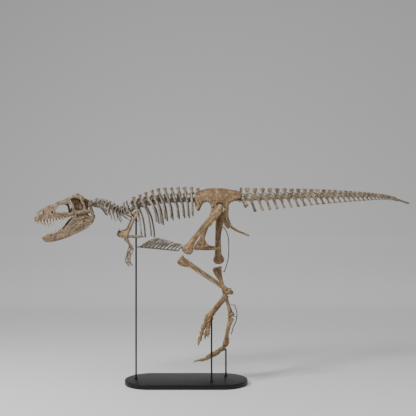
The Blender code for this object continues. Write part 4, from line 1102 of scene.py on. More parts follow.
def sacrum():
    """The five joined vertebrae between the hip blades, under one plate of spines."""
    sizes = bpy.context.scene.spine_sizes
    path = Path(SACRUM_POINTS)
    forms = []
    step = (path.length - 0.01) / 5
    for i in range(5):
        middle = 0.005 + step * (i + 0.5)
        forms += placed([centrum(step * 0.49, 0.042, 0.8), yoke(step * 0.5, 0.04, 0.085, 0.02)],
            path.frame(middle))
        root = path.at(middle)
        x = root.x
        top = (2.868, 2.877, 2.88, 2.874, 2.862)[i]
        forms.append(spine_blade((x, 0, 2.79), (x + (0.006 if i < 4 else -0.01), 0, top - 0.006), 0.042,
            0.046, 0.009, 1.4))
        for side in SIDES:
            forms.append(tube([(x, 0.02, root.z + 0.006, 0.03, 0.022),
                (x + 0.004, 0.05, root.z + 0.018, 0.02, 0.014),
                (x + 0.004, 0.082, root.z + 0.034, 0.034, 0.02)], across=(1, 0, 0), side=side))
    forms.append(slab(((0.232, 2.79), (0.236, 2.85), (0.5, 2.862), (0.744, 2.846), (0.752, 2.79)), 0.006))
    bone("sacral_bones", forms, "tail", "sacrum", voxel=sizes.voxel * 1.15)


def tail_vertebra(place, half, r, top, share, i):
    """A tail vertebra: spool body, square-topped spine and, near the root, drooping side processes."""
    low = -0.12 * r * (1 - share)
    forms = [centrum(half, r * 1.12, 0.54, 0.95).placed(Matrix.Translation((0, 0, low)))]
    if i < 30:
        forms.append(yoke(half * (0.85 + 0.5 * share), r, 1.35 * r, 0.45 * r))
        forms += joints_of_arch(half, r, 1.0 * r, 0.4 * r, 0.22 * r, 1.14 + 0.22 * share)
        far = min(1.0, i / 12)
        foot, head = Vector((-0.06 * half, 0, 1.05 * r)), Vector((0.1 * half, 0, max(top, 1.75 * r)))
        wide, long = 0.0095 * (1 - share) + 0.002, half * (0.7 + 0.14 * far)
        forms.append(tube([(*foot, wide, half * (0.4 + 0.22 * far)),
            (*foot.lerp(head, 0.28), wide * 0.85, half * (0.38 + 0.28 * far)),
            (*foot.lerp(head, 0.52), wide, long * 0.86), (*foot.lerp(head, 0.74), wide * 1.3, long * 1.02),
            (*foot.lerp(head, 0.92), wide * 1.45, long * 1.04), (*head, wide * 1.25, long * 0.96)],
            sides=20, power=3.4, step=0.008, tip=0.3))
    if i < 14:
        reach = 0.135 * (1 - i / 17)
        for side in SIDES:
            forms.append(tube([(0, 0.3 * r, 0.25 * r, 0.027 * (1 - share), 0.013),
                (0.006, reach * 0.6, 0.05 * r, 0.021 * (1 - share), 0.01),
                (0.012, reach, -0.45 * r, 0.024 * (1 - share), 0.01)], across=(1, 0, 0), side=side))
    return placed(forms, place)


def haemal_arch(place, drop, r, back, i):
    """A chevron: two arms under the joint that meet in a blade, with a sled-shaped foot further back."""
    forms = []
    thick = 0.0262 * (1 - i / 60)
    far = min(1.0, max(0, i - 6) / 5)
    for side in SIDES:
        forms.append(tube([(0, 0.6 * r, -0.9 * r, 0.007, thick),
            (back * 0.1, 0.32 * r, -1.05 * r - drop * 0.14, 0.006, thick * 0.8),
            (back * 0.22, 0, -1.05 * r - drop * 0.3, 0.006, thick * 0.8)], sides=10, side=side))
    forms.append(tube([(back * 0.18, 0, -1.05 * r - drop * 0.22, 0.0065, thick * 0.8),
        (back * 0.55, 0, -r - drop * 0.62, 0.006, thick * 0.78),
        (back * 0.85, 0, -r - drop * 0.88, 0.008, thick * 0.95), (back, 0, -r - drop, 0.0085, thick * 1.05)],
        sides=12, power=2.5))
    if far > 0:
        long = (0.016 + 0.026 * far) * min(1.0, max(0.35, (34 - i) / 16))
        forms.append(tube([(back - long * 0.85, 0, -r - drop * 0.99, 0.005, 0.0075),
            (back, 0, -r - drop * 0.97, 0.0068, 0.0125),
            (back + long, 0, -r - drop * 0.96, 0.0055, 0.0075)], sides=12))
    return placed(forms, place)


def tail():
    """The tail's vertebrae and chevrons in four lengths."""
    sizes = bpy.context.scene.spine_sizes
    path = Path(TAIL_POINTS)
    count = 36
    lengths = [0.62] + [1.0 - 0.66 * (i / count) ** 1.5 for i in range(1, count)]
    usable = path.length - 0.005
    joints = [0.005]
    for long in lengths:
        joints.append(joints[-1] + long * usable / sum(lengths))
    radius = [max(0.042 * (1 - i / 38) ** 0.85 + 0.005, 0.0175) for i in range(count + 1)]
    first = 0
    for number, last in enumerate(TAIL_SPLITS, start=1):
        forms = []
        for i in range(first, last):
            size = joints[i + 1] - joints[i]
            share = i / count
            place = path.frame((joints[i] + joints[i + 1]) / 2)
            half = size / 2 - sizes.disc_gap * (1.3 - 0.75 * share) / 2
            forms += tail_vertebra(place, half, (radius[i] + radius[i + 1]) / 2, 0.158 * (1 - share) ** 1.25,
                share, i)
            if 1 <= i < 31:
                drop = 0.165 * (1 - share) ** 2.1 + 0.012 if i > 1 else 0.07
                drop *= 1 - 0.5 * max(0, i - 20) / 10
                forms += haemal_arch(path.frame(joints[i] + 0.06 * size), drop, radius[i],
                    0.045 * (1 - share) + 0.004, i)
        if number == 1:
            for side in SIDES:
                forms.append(tube([(0.795, 0.03, 2.77, 0.01, 0.014), (0.822, 0.07, 2.738, 0.009, 0.017),
                    (0.858, 0.1, 2.672, 0.008, 0.014), (0.888, 0.112, 2.612, 0.008, 0.014)], sides=14,
                    side=side))
        bone(f"tail_bones_{number}", forms, "tail", f"tail_{number}",
            voxel=sizes.voxel * (0.9 if number < 4 else 0.8),
            lumps=(0.0012 - 0.0002 * number, 0.0006 - 0.0001 * number))
        first = last


# ---- belly, shoulders and arms ----
BELLY_FRONT = (-0.69, 0, 2.022)
BELLY_REAR = (-0.129, 0, 1.968)


def belly_ribs():
    """The basket of thin belly rods: each row is a V swept back, of an inner and an outer rod a side."""
    sizes = bpy.context.scene.trunk_sizes
    front, rear = Vector(BELLY_FRONT), Vector(BELLY_REAR)
    count = sizes.belly_rows
    step = (rear.x - front.x) / (count - 1)
    forms = []
    for i in range(count):
        share = i / (count - 1)
        root = front.lerp(rear, share)
        reach = 0.205 * (1 - 0.42 * share)
        rise = 0.128 * (1 - 0.42 * share ** 1.5) * (1 + 0.05 * math.sin(2.4 * i))
        run = (0.265 - 0.165 * share) * (1 + 0.07 * math.sin(1.7 * i + 1.0))
        thick = sizes.belly_rod * (1.1 - 0.2 * share)
        for side in SIDES:
            forms.append(tube([(root.x - 0.95 * step, -0.02, root.z + 0.003 * side, thick, thick * 1.2),
                (root.x + 0.05 * step, 0.008, root.z - 0.003, thick * 1.5, thick * 1.6),
                (root.x + run * 0.26, reach * 0.36, root.z + rise * 0.25, thick, thick * 1.15),
                (root.x + run * 0.62, reach * 0.66, root.z + rise * 0.62, thick * 0.7, thick * 0.8)],
                sides=10, across=(0, 0, 1), side=side))
            start = (root.x + run * 0.18 + 0.008, reach * 0.38, root.z + rise * 0.18 + 0.012)
            forms.append(tube([(*start, thick * 0.6, thick * 0.8),
                (root.x + run * 0.52 + 0.004, reach * 0.7, root.z + rise * 0.54 + 0.009, thick, thick * 1.15),
                (root.x + run * 0.82, reach * 0.92, root.z + rise * 0.83, thick * 0.9, thick * 1.0),
                (root.x + run * 1.1, reach, root.z + rise * 0.98, 0.0036, 0.0042)],
                sides=10, across=(0, 0, 1), side=side))
    bone("belly_rods", forms, "grey", "gastralia", voxel=0.0028, smooth=2, lumps=(0.0008, 0.0004))


BREAST_OUTLINE = ((-0.958, 0.03), (-0.93, 0.05), (-0.85, 0.06), (-0.76, 0.062), (-0.69, 0.05),
    (-0.642, 0.036), (-0.636, 0.01), (-0.7, -0.022), (-0.79, -0.034), (-0.88, -0.026), (-0.945, -0.006))


def breast_plates():
    """The pair of low plates under the chest, each with a ridge."""
    for side in SIDES:
        flat = slab(BREAST_OUTLINE, 0.008)
        tilt = Matrix.Rotation(side * math.radians(70), 4, "X")
        low = Matrix.Translation((0, side * 0.056, 2.168)) @ tilt
        ridge = tube([(-0.945, 0.048, 2.168, 0.011, 0.008), (-0.8, 0.052, 2.168, 0.016, 0.008),
            (-0.65, 0.048, 2.166, 0.009, 0.006)], side=side)
        bone(f"breast_plate_{SIDE_NAME[side]}", [flat.placed(low), ridge], "grey",
            f"sternal_plate_{SIDE_NAME[side]}", voxel=0.003, lumps=(0.0012, 0.0006))


SHOULDER_SHIFT = {LEFT: Vector((0, 0, 0)), RIGHT: Vector((-0.092, 0, 0.03))}


def shoulder_point(side, x, y, z):
    """A place of the left shoulder and arm, or its like on the right."""
    return Vector((x, -side * y, z)) + SHOULDER_SHIFT[side]


def shoulder(side):
    """Blade, its swollen socket end and the round coracoid plate with its hole."""
    def at(x, y, z, across, along):
        share = min(1.0, max(0.0, (z - 2.18) / 0.11))
        aside = (0.018 if side == LEFT else -0.01) * share
        return (*(shoulder_point(side, x, y, z) + Vector((aside, 0, 0))), across, along)

    forms = [tube([at(-0.694, -0.24, 2.528, 0.0045, 0.026), at(-0.706, -0.243, 2.508, 0.0055, 0.024),
        at(-0.735, -0.254, 2.44, 0.0065, 0.0165), at(-0.76, -0.256, 2.385, 0.0075, 0.0145),
        at(-0.785, -0.254, 2.33, 0.008, 0.015), at(-0.812, -0.247, 2.27, 0.0095, 0.019),
        at(-0.838, -0.236, 2.222, 0.012, 0.03), at(-0.868, -0.22, 2.18, 0.015, 0.042)], sides=22, power=2.3),
        tube([at(-0.842, -0.222, 2.205, 0.013, 0.032), at(-0.868, -0.206, 2.196, 0.012, 0.048),
            at(-0.895, -0.187, 2.19, 0.011, 0.055), at(-0.93, -0.158, 2.187, 0.0095, 0.048),
            at(-0.955, -0.13, 2.19, 0.006, 0.026)], sides=22, across=(0.5, side, 0), power=2.3),
        tube([at(-0.82, -0.232, 2.168, 0.013, 0.011), at(-0.846, -0.224, 2.16, 0.014, 0.012),
            at(-0.872, -0.214, 2.15, 0.012, 0.01)]),
        tube([at(-0.885, -0.2, 2.235, 0.008, 0.009), at(-0.86, -0.214, 2.246, 0.01, 0.012),
            at(-0.832, -0.232, 2.262, 0.008, 0.008)])]
    hole = [shoulder_point(side, -0.896, -0.14, 2.206), shoulder_point(side, -0.88, -0.24, 2.206)]
    cutter = tube([(*point, 0.006, 0.006) for point in hole], sides=12, step=0.05, across=(1, 0, 0))
    bone(f"shoulder_blade_{SIDE_NAME[side]}", forms, "tan", f"scapula_{SIDE_NAME[side]}", voxel=0.0034,
        cutters=[cutter], lumps=(0.0012, 0.0006))


def wishbone():
    """The bent rod between the shoulders."""
    left = shoulder_point(LEFT, -0.925, -0.165, 2.252)
    right = shoulder_point(RIGHT, -0.925, -0.165, 2.262)
    rows = [(*left, 0.0045, 0.007), (left.x - 0.045, left.y * 0.55, left.z - 0.045, 0.006, 0.009),
        (left.x - 0.085, 0, left.z - 0.065, 0.007, 0.013),
        (right.x - 0.01, right.y * 0.55, right.z - 0.055, 0.006, 0.009), (*right, 0.0045, 0.007)]
    bone("wishbone", [tube(rows, sides=16, across=(0, 0, 1))], "grey", "furcula", voxel=0.0028,
        lumps=(0.0008, 0.0004))


def arm(side):
    """Upper arm, the two forearm bones, and the wrist with two fingers."""
    word = SIDE_NAME[side]
    elbow = shoulder_point(side, -0.768, -0.2, 1.998)
    socket = shoulder_point(side, -0.846, -0.222, 2.14)
    wrist = shoulder_point(side, -0.8, -0.195, 1.905)
    seat, length = bone_frame(socket, elbow), (socket - elbow).length
    forms = [tube([(0.002, 0, 0.004, 0.018, 0.013), (0, 0, -0.01, 0.024, 0.018),
        (-0.006, 0, -0.2 * length, 0.02, 0.021), (-0.002, 0, -0.5 * length, 0.0125, 0.0125),
        (0, 0, -0.82 * length, 0.015, 0.0135), (0, 0, -0.95 * length, 0.02, 0.0145),
        (0, 0, -length + 0.004, 0.017, 0.012)], sides=22),
        tube([(-0.02, 0.004, -0.022, 0.006, 0.008), (-0.026, 0.004, -0.2 * length, 0.006, 0.012),
            (-0.014, 0, -0.42 * length, 0.005, 0.008)], side=side)]
    for y in (-0.01, 0.01):
        forms.append(knob((-0.002, y, -0.965 * length), 0.0115, (1.1, 0.9, 0.9)))
    bone(f"upper_arm_{word}", placed(forms, seat), "tan", f"humerus_{word}", voxel=0.0026,
        lumps=(0.0008, 0.0004))

    seat, reach = bone_frame(elbow, wrist), (elbow - wrist).length - 0.004
    forms = []
    for offset, thick, top in ((-0.011, 0.008, -0.01), (0.012, 0.0095, -0.002)):
        forms.append(tube([(offset, 0, top, thick * 1.15, thick * 1.4),
            (offset, 0, top - 0.012, thick * 1.2, thick * 1.4),
            (offset * 1.35, 0, -0.5 * reach, thick * 0.82, thick * 0.85),
            (offset * 1.05, 0, -reach + 0.008, thick * 1.25, thick * 1.3),
            (offset, 0, -reach, thick * 1.1, thick * 1.1)], sides=16))
    bone(f"forearm_bones_{word}", placed(forms, seat), "grey", f"forearm_{word}", voxel=0.0024,
        lumps=(0.0006, 0.0004))

    knuckle = wrist + Vector((-0.012, 0, -0.01))
    forms = [knob(knuckle + Vector((-0.008, -0.004, 0.004)), 0.011, (1.1, 1.2, 0.8)),
        knob(knuckle + Vector((0.009, 0.004, 0.003)), 0.01, (1.1, 1.2, 0.8)),
        knob(knuckle + Vector((0, 0, -0.008)), 0.011, (1.3, 1.2, 0.6))]
    for spread, lean_back, size in ((-0.016, 0, 1.0), (0.016, 0.045, 0.9)):
        joints = ((0.01, -0.004), (-0.012, -0.052), (-0.024, -0.094), (-0.018, -0.13), (0.014, -0.166 * size))
        places = [Vector((knuckle.x + x + lean_back * (-z / 0.16), knuckle.y + spread * (1 - 3 * z),
            knuckle.z + z)) for x, z in joints]
        for k, (low, high) in enumerate(zip(places, places[1:])):
            thick = (0.0132, 0.0124, 0.0118, 0.0108)[k]
            if k == 3:
                bend = (low + high) / 2 + Vector((-0.008, 0, 0))
                rows = [(*low, thick, thick * 1.3), (*bend, thick * 0.62, thick), (*high, 0.0018, 0.0022)]
            else:
                rows = [(*low.lerp(high, 0.04), thick, thick * 1.05),
                    (*low.lerp(high, 0.5), thick * 0.74, thick * 0.8),
                    (*low.lerp(high, 0.9), thick * 0.96, thick * 1.05)]
            forms.append(tube(rows, sides=14, step=0.005))
    bone(f"hand_bones_{word}", forms, "tail", f"hand_{word}", voxel=0.0022, lumps=(0.0005, 0.0003))


# ---- pelvis ----
ILIUM_OUTLINE = (
    (0.128, 2.64), (0.131, 2.8), (0.18, 2.838), (0.26, 2.862), (0.33, 2.88), (0.42, 2.886), (0.52, 2.88),
    (0.64, 2.862), (0.74, 2.842), (0.796, 2.826), (0.808, 2.78), (0.796, 2.735), (0.76, 2.716), (0.7, 2.7),
    (0.655, 2.676), (0.628, 2.64), (0.622, 2.59), (0.57, 2.586), (0.562, 2.632), (0.53, 2.655), (0.49, 2.662),
    (0.452, 2.648), (0.43, 2.618), (0.424, 2.584), (0.374, 2.584), (0.362, 2.64), (0.33, 2.686),
    (0.292, 2.69), (0.245, 2.668), (0.212, 2.61), (0.19, 2.566),
    (0.168, 2.56))
# Bars laid on the blade as (along, out, up, half size out, half size the other way): the rim of the
# socket, the two stems beside it, the ridge above it, the crest and the edges behind and in front.
ILIUM_RIDGES = (
    ((0.425, 0, 2.6, 0.026, 0.022), (0.44, 0.006, 2.65, 0.024, 0.016), (0.495, 0.012, 2.676, 0.024, 0.016),
        (0.55, 0.008, 2.652, 0.02, 0.014),
        (0.58, 0, 2.605, 0.02, 0.016)),
    ((0.398, 0, 2.596, 0.022, 0.024), (0.398, 0, 2.64, 0.018, 0.03), (0.402, 0, 2.7, 0.012, 0.034)),
    ((0.597, 0, 2.598, 0.02, 0.024), (0.6, 0, 2.64, 0.016, 0.026), (0.606, 0, 2.7, 0.012, 0.026)),
    ((0.478, 0.004, 2.69, 0.012, 0.04), (0.466, 0.004, 2.76, 0.012, 0.034), (0.452, 0.001, 2.84, 0.01, 0.04)),
    ((0.15, 0, 2.812, 0.01, 0.012), (0.26, 0, 2.85, 0.011, 0.011), (0.42, 0, 2.874, 0.013, 0.011),
        (0.6, 0, 2.853, 0.012, 0.011), (0.748, 0, 2.815, 0.012, 0.012)),
    ((0.63, 0.004, 2.676, 0.012, 0.01), (0.7, 0.006, 2.712, 0.012, 0.01), (0.765, 0, 2.73, 0.009, 0.01)),
    ((0.142, 0, 2.66, 0.009, 0.012), (0.18, 0, 2.6, 0.01, 0.02), (0.176, 0, 2.575, 0.009, 0.014)))


def hip_blade(side):
    """The long hip blade: thin plate, thick rim over the socket, two stout feet and a raised ridge."""
    forms = [slab(ILIUM_OUTLINE, 0.0095)] + [tube(rows, side=side) for rows in ILIUM_RIDGES]
    forms = [leaned(form, side * 0.125, 2.6, -side * 0.215) for form in forms]
    word = SIDE_NAME[side]
    bone(f"hip_blade_{word}", forms, "tan", f"ilium_{word}", lumps=(0.004, 0.0016))


def pubes():
    """The two pubic shafts and the long boot that joins them at the foot."""
    forms = []
    for side in SIDES:
        forms.append(tube([(0.396, 0.121, 2.568, 0.022, 0.027), (0.388, 0.116, 2.53, 0.019, 0.029),
            (0.368, 0.102, 2.48, 0.016, 0.028), (0.338, 0.08, 2.415, 0.015, 0.027),
            (0.308, 0.056, 2.34, 0.015, 0.03), (0.262, 0.031, 2.22, 0.019, 0.034),
            (0.232, 0.02, 2.12, 0.021, 0.042), (0.225, 0.016, 2.06, 0.018, 0.06)],
            sides=20, side=side))
        forms.append(tube([(0.372, 0.096, 2.52, 0.008, 0.01), (0.33, 0.045, 2.38, 0.01, 0.018),
            (0.29, 0.01, 2.27, 0.008, 0.016), (0.262, 0.006, 2.18, 0.008, 0.018)], side=side))
    boot = [(0.104, 0, 2.006, 0.014, 0.022), (0.14, 0, 2.0, 0.024, 0.031), (0.2, 0, 2.008, 0.029, 0.04),
        (0.28, 0, 2.003, 0.029, 0.037), (0.36, 0, 2.002, 0.027, 0.032), (0.44, 0, 2.002, 0.023, 0.026),
        (0.5, 0, 2.006, 0.015, 0.01)]
    forms.append(tube(boot, sides=24, power=2.3))
    forms.append(slab(((0.11, 2.028), (0.106, 1.99), (0.15, 1.974), (0.3, 1.972), (0.42, 1.978), (0.5, 2.0),
        (0.5, 2.012), (0.425, 2.026), (0.345, 2.044), (0.295, 2.086), (0.268, 2.145), (0.194, 2.145),
        (0.154, 2.088)), 0.022, edge=0.015))
    bone("pubic_bones", forms, "tan", "pubis", lumps=(0.0022, 0.001))


def ischia(side):
    """One ischium: a slender shaft down and back, with its plate in front."""
    forms = [tube([(0.6, 0.125, 2.582, 0.017, 0.026), (0.606, 0.114, 2.53, 0.014, 0.017),
        (0.609, 0.103, 2.47, 0.012, 0.015), (0.626, 0.085, 2.391, 0.012, 0.016),
        (0.664, 0.065, 2.318, 0.012, 0.018), (0.743, 0.042, 2.262, 0.0115, 0.016),
        (0.837, 0.026, 2.223, 0.011, 0.014), (0.9, 0.02, 2.196, 0.011, 0.0145),
        (0.926, 0.016, 2.184, 0.01, 0.012)], side=side),
        tube([(0.59, 0.122, 2.572, 0.012, 0.014), (0.568, 0.116, 2.535, 0.011, 0.022),
            (0.559, 0.108, 2.48, 0.009, 0.025), (0.569, 0.098, 2.41, 0.008, 0.026),
            (0.594, 0.088, 2.345, 0.008, 0.026), (0.634, 0.076, 2.3, 0.009, 0.021)], side=side)]
    word = SIDE_NAME[side]
    bone(f"ischium_bone_{word}", forms, "tan", f"ischium_{word}", voxel=0.0036, lumps=(0.0014, 0.0007))


# ---- legs ----
HIP = {LEFT: (0.488, -0.18, 2.563), RIGHT: (0.488, 0.18, 2.563)}
KNEE = {LEFT: (-0.009, -0.19, 1.95), RIGHT: (0.474, 0.19, 1.786)}
SHIN_TOP = {LEFT: (-0.084, -0.19, 1.846), RIGHT: (0.462, 0.19, 1.712)}
ANKLE = {LEFT: (0.617, -0.186, 1.372), RIGHT: (0.668, 0.185, 0.998)}
FOOT_TOP = {LEFT: (0.577, -0.186, 1.312), RIGHT: (0.668, 0.185, 0.944)}
BALL = {LEFT: (0.302, -0.186, 0.99), RIGHT: (0.574, 0.179, 0.528)}
SHIN_BOW = {LEFT: 0.018, RIGHT: 0.003}


def thigh(side):
    """The femur: head turned in to the hip, trochanters, bowed shaft and a pair of condyles."""
    hip, knee = Vector(HIP[side]), Vector(KNEE[side])
    length = (hip - knee).length
    stout, behind = (1.16, 0.008) if side == RIGHT else (1.0, 0.0)
    forms = [
        tube([(0.01, 0.022, 0.05, 0.016, 0.022), (0.006, 0.022, 0.026, 0.026, 0.044),
            (0.006, 0.022, -0.026, 0.031, 0.059), (0.007, 0.02, -0.12 * length, 0.033, 0.058),
            (0.001 + behind, 0.018, -0.22 * length, 0.034, 0.052 * stout),
            (-0.012 + behind, 0.01, -0.38 * length, 0.034, 0.042 * stout),
            (-0.016 + behind, 0.006, -0.55 * length, 0.034, 0.038 * stout),
            (-0.011 + behind, 0, -0.74 * length, 0.038, 0.042 * stout),
            (-0.002, 0, -0.86 * length, 0.048, 0.054), (0.004, 0, -0.93 * length, 0.059, 0.064),
            (0.004, 0, -0.985 * length, 0.056, 0.06)], sides=28, power=2.3, side=side),
        tube([(0, 0.02, -0.004, 0.038, 0.036), (0, -0.03, 0, 0.033, 0.034),
            (0, -0.062, 0.003, 0.034, 0.035)], sides=22, across=(1, 0, 0), side=side),
        knob((0, -side * 0.08, 0.004), 0.04, (1.0, 0.92, 1.0)),
        tube([(-0.046, 0.03, 0.024, 0.012, 0.012), (-0.054, 0.031, -0.01, 0.014, 0.016),
            (-0.053, 0.03, -0.06, 0.012, 0.016), (-0.04, 0.026, -0.15, 0.01, 0.014)], side=side),
        tube([(-0.002, 0.045, 0.034, 0.012, 0.028), (0.004, 0.05, -0.01, 0.01, 0.026),
            (0.004, 0.044, -0.06, 0.008, 0.02)], side=side),
        tube([(0.04, 0, -0.24 * length, 0.008, 0.008), (0.046, -0.004, -0.32 * length, 0.012, 0.012),
            (0.036, -0.004, -0.4 * length, 0.007, 0.008)], side=side)]
    for turn, size in ((side, 1.06), (-side, 1.0)):
        y = turn * 0.035
        forms.append(tube([(0.034, y * 0.9, -0.84 * length, 0.013, 0.014),
            (0.06, y, -0.9 * length, 0.023 * size, 0.022), (0.064, y, -0.955 * length, 0.025 * size, 0.03),
            (0.034, y, -0.985 * length, 0.026 * size, 0.032),
            (0, y * 0.9, -0.995 * length, 0.026 * size, 0.03),
            (-0.036, y * 0.86, -0.975 * length, 0.024 * size, 0.034),
            (-0.05, y * 0.8, -0.93 * length, 0.018, 0.024), (-0.036, y * 0.7, -0.86 * length, 0.012, 0.012)],
            sides=20))
    word = SIDE_NAME[side]
    bone(f"thigh_bone_{word}", placed(forms, bone_frame(hip, knee)), "tan", f"femur_{word}", smooth=4,
        lumps=(0.0026, 0.0011))


def lower_leg(side):
    """The tibia with its crest, the splint-like fibula, and the ankle bones."""
    word = SIDE_NAME[side]
    top, ankle = Vector(SHIN_TOP[side]), Vector(ANKLE[side])
    length = (top - ankle).length
    seat = bone_frame(top, ankle)
    bow = SHIN_BOW[side]
    disc = 1.22 if side == RIGHT else 1.0
    forms = [
        tube([(0.004, 0, -0.004, 0.044 * disc, 0.05 * disc), (0.004, 0, -0.013, 0.05 * disc, 0.058 * disc),
            (0.004, 0, -0.026, 0.046 * disc, 0.053 * disc)], sides=26, power=2.6, step=0.004, tip=0.2),
        tube([(0.008, 0, -0.02, 0.034, 0.034), (0.009, 0, -0.036, 0.033, 0.033),
            (0.01, 0, -0.05, 0.038, 0.043), (0.009, 0, -0.07, 0.036, 0.04),
            (0.008 + bow * 0.5, 0, -0.13 * length, 0.031, 0.034), (bow, 0, -0.24 * length, 0.027, 0.0285),
            (bow, 0, -0.45 * length, 0.025, 0.025), (bow, 0, -0.65 * length, 0.026, 0.0245),
            (bow * 0.8, 0, -0.82 * length, 0.034, 0.027), (bow * 0.4, 0, -0.92 * length, 0.047, 0.034),
            (bow * 0.2, 0, -0.948 * length, 0.052, 0.038)], sides=26, power=2.2, step=0.008, tip=0.35),
        tube([(-0.036, 0.006, 0, 0.016, 0.016), (-0.064, 0.01, -0.014, 0.013, 0.015),
            (-0.064, 0.012, -0.055, 0.012, 0.016), (-0.05, 0.01, -0.115, 0.01, 0.014),
            (bow - 0.026, 0.006, -0.2, 0.009, 0.012)], side=side),
        tube([(-0.034, 0.004, -0.018, 0.014, 0.036), (-0.03, 0.004, -0.06, 0.012, 0.034),
            (-0.03, 0.004, -0.11, 0.01, 0.026),
            (bow - 0.02, 0.004, -0.195, 0.009, 0.015)], sides=14, side=side),
        tube([(0.01, 0.036, -0.1 * length, 0.005, 0.01), (bow, 0.032, -0.25 * length, 0.007, 0.01),
            (bow, 0.026, -0.38 * length, 0.005, 0.006)], side=side)]
    for turn in SIDES:
        forms.append(knob((0.042, turn * 0.026, -0.012), 0.022, (1.1, 1.0, 0.8)))
    bone(f"shin_bone_{word}", placed(forms, seat), "tan", f"tibia_{word}", lumps=(0.0024, 0.001))

    out, ahead = side * 0.078, 0.022 if side == LEFT else 0.01
    forms = [tube([(0.004, out, -0.012, 0.011, 0.03), (0, out, -0.035, 0.0125, 0.034),
        (-0.006, out * 0.96, -0.09, 0.0105, 0.022),
        (bow - 0.01 - ahead, out * 0.82, -0.2 * length, 0.009, 0.014),
        (bow - 0.014 - ahead, out * 0.7, -0.35 * length, 0.0085, 0.0115),
        (bow - 0.012 - ahead, out * 0.66, -0.7 * length, 0.0075, 0.0095),
        (bow * 0.4 - 0.008 - ahead * 0.6, out * 0.9, -0.925 * length, 0.009, 0.0125),
        (bow * 0.4 - 0.008 - ahead * 0.6, out * 0.9, -0.938 * length, 0.0085, 0.0115)], sides=16)]
    bone(f"splint_bone_{word}", placed(forms, seat), "tan", f"fibula_{word}", voxel=0.0036,
        lumps=(0.001, 0.0006))

    forms = [tube([(0.004, -0.058, -length, 0.044, 0.029), (0.004, -0.036, -length, 0.052, 0.035),
        (0.004, 0, -length, 0.045, 0.029), (0.004, 0.03, -length, 0.052, 0.035),
        (0.004, 0.052, -length, 0.046, 0.031)], sides=24, across=(1, 0, 0), side=side),
        tube([(0.012, 0.06, -length + 0.004, 0.036, 0.029), (0.01, 0.08, -length + 0.002, 0.032, 0.024)],
            sides=22, across=(1, 0, 0), side=side)]
    forms = placed(forms, seat)
    if side == LEFT:
        middle = ankle + Vector((0.006, -0.06, -0.012))
        forms.append(tube([(middle.x - 0.048, middle.y, middle.z + 0.002, 0.02, 0.026),
            (middle.x - 0.026, middle.y - 0.004, middle.z, 0.024, 0.034),
            (middle.x, middle.y, middle.z + 0.002, 0.021, 0.028),
            (middle.x + 0.03, middle.y - 0.004, middle.z + 0.002, 0.024, 0.034),
            (middle.x + 0.05, middle.y, middle.z + 0.004, 0.019, 0.025)], sides=22, step=0.006))
    bone(f"ankle_bones_{word}", forms, "tan", f"ankle_{word}", voxel=0.0038, lumps=(0.0018, 0.0009))


def foot(side):
    """Three long foot bones, the middle one pinched at its top, and the small first toe behind."""
    top, end = Vector(FOOT_TOP[side]), Vector(BALL[side])
    length = (top - end).length
    forms = []
    for spread, reach, thick in ((-side, 0.94, 0.0235), (0, 1.0, 0.0265), (side, 0.95, 0.0225)):
        near, mid, far = 0.031 * spread, 0.035 * spread, 0.052 * spread
        slim = 0.5 if spread == 0 else 1.0
        ahead = -0.006 * abs(spread)
        turned = 0.03 if side == LEFT and spread > 0 else 0.0
        forms.append(tube([(0.002, near, -0.004, thick * slim, 0.052),
            (turned * 0.3, near, -0.05 * length, thick * slim, 0.045),
            (turned * 0.6, near, -0.14 * length, thick * slim * 0.95, 0.034),
            (ahead + turned, near * 1.05, -0.35 * length, thick * slim * 0.92, 0.028),
            (ahead + turned * 1.2, mid, -0.62 * length, thick * 0.86, 0.026),
            (0.001 + turned, (mid + far) / 2, -0.8 * length, thick * 0.94, 0.031),
            (0.004 + turned * 0.9, far, -(reach - 0.085) * length, thick * 1.12, 0.04),
            (0.006 + turned * 0.8, far, -(reach - 0.038) * length, thick * 1.1, 0.044),
            (0.006 + turned * 0.8, far, -reach * length, thick * 0.88, 0.034)], sides=22, power=2.3))
        for turn in SIDES:
            forms.append(tube([(0.034, far + turn * thick * 0.5, -(reach - 0.085) * length, 0.008, 0.009),
                (0.04, far + turn * thick * 0.55, -(reach - 0.04) * length, 0.01, 0.012),
                (0.02, far + turn * thick * 0.52, -reach * length, 0.01, 0.01)], sides=12))
    forms.append(tube([(0.02, -0.048, -0.64 * length, 0.008, 0.01),
        (0.026, -0.058, -0.7 * length, 0.011, 0.012),
        (0.034, -0.072, -0.775 * length, 0.0095, 0.011)], sides=12, side=side))
    forms.append(tube([(0.038, -0.079, -0.8 * length, 0.0105, 0.0125),
        (0.041, -0.087, -0.85 * length, 0.008, 0.0095),
        (0.036, -0.092, -0.915 * length, 0.002, 0.002)], sides=12, side=side))
    word = SIDE_NAME[side]
    bone(f"foot_bones_{word}", placed(forms, bone_frame(top, end)), "tan", f"metatarsus_{word}", voxel=0.004,
        lumps=(0.0018, 0.0009))


# Toe bones run from the ball of the foot: (length, pitch below level) of each in turn.
TOES = {
    (LEFT, 2): ((0.135, 70), (0.105, 78), (0.14, 80)),
    (LEFT, 3): ((0.13, 64), (0.09, 76), (0.075, 74), (0.12, 80)),
    (LEFT, 4): ((0.075, 88), (0.055, 84), (0.045, 86), (0.035, 90), (0.07, 98)),
    (RIGHT, 2): ((0.13, 36), (0.1, 30), (0.13, 40)),
    (RIGHT, 3): ((0.16, 36), (0.105, 27), (0.095, 23), (0.19, 15)),
    (RIGHT, 4): ((0.095, 42), (0.07, 34), (0.06, 26), (0.05, 30), (0.12, 42)),
}
TOE_OFFSET = {2: -0.06, 3: 0.0, 4: 0.06}
TOE_ASIDE = {2: 0.06, 3: 0.018, 4: 0.03}
TOE_SPLAY = {2: -0.3, 3: 0.0, 4: 0.28}
TOE_GAP = {LEFT: 0.021, RIGHT: 0.029}
TOE_RADIUS = {2: 0.026, 3: 0.029, 4: 0.025}


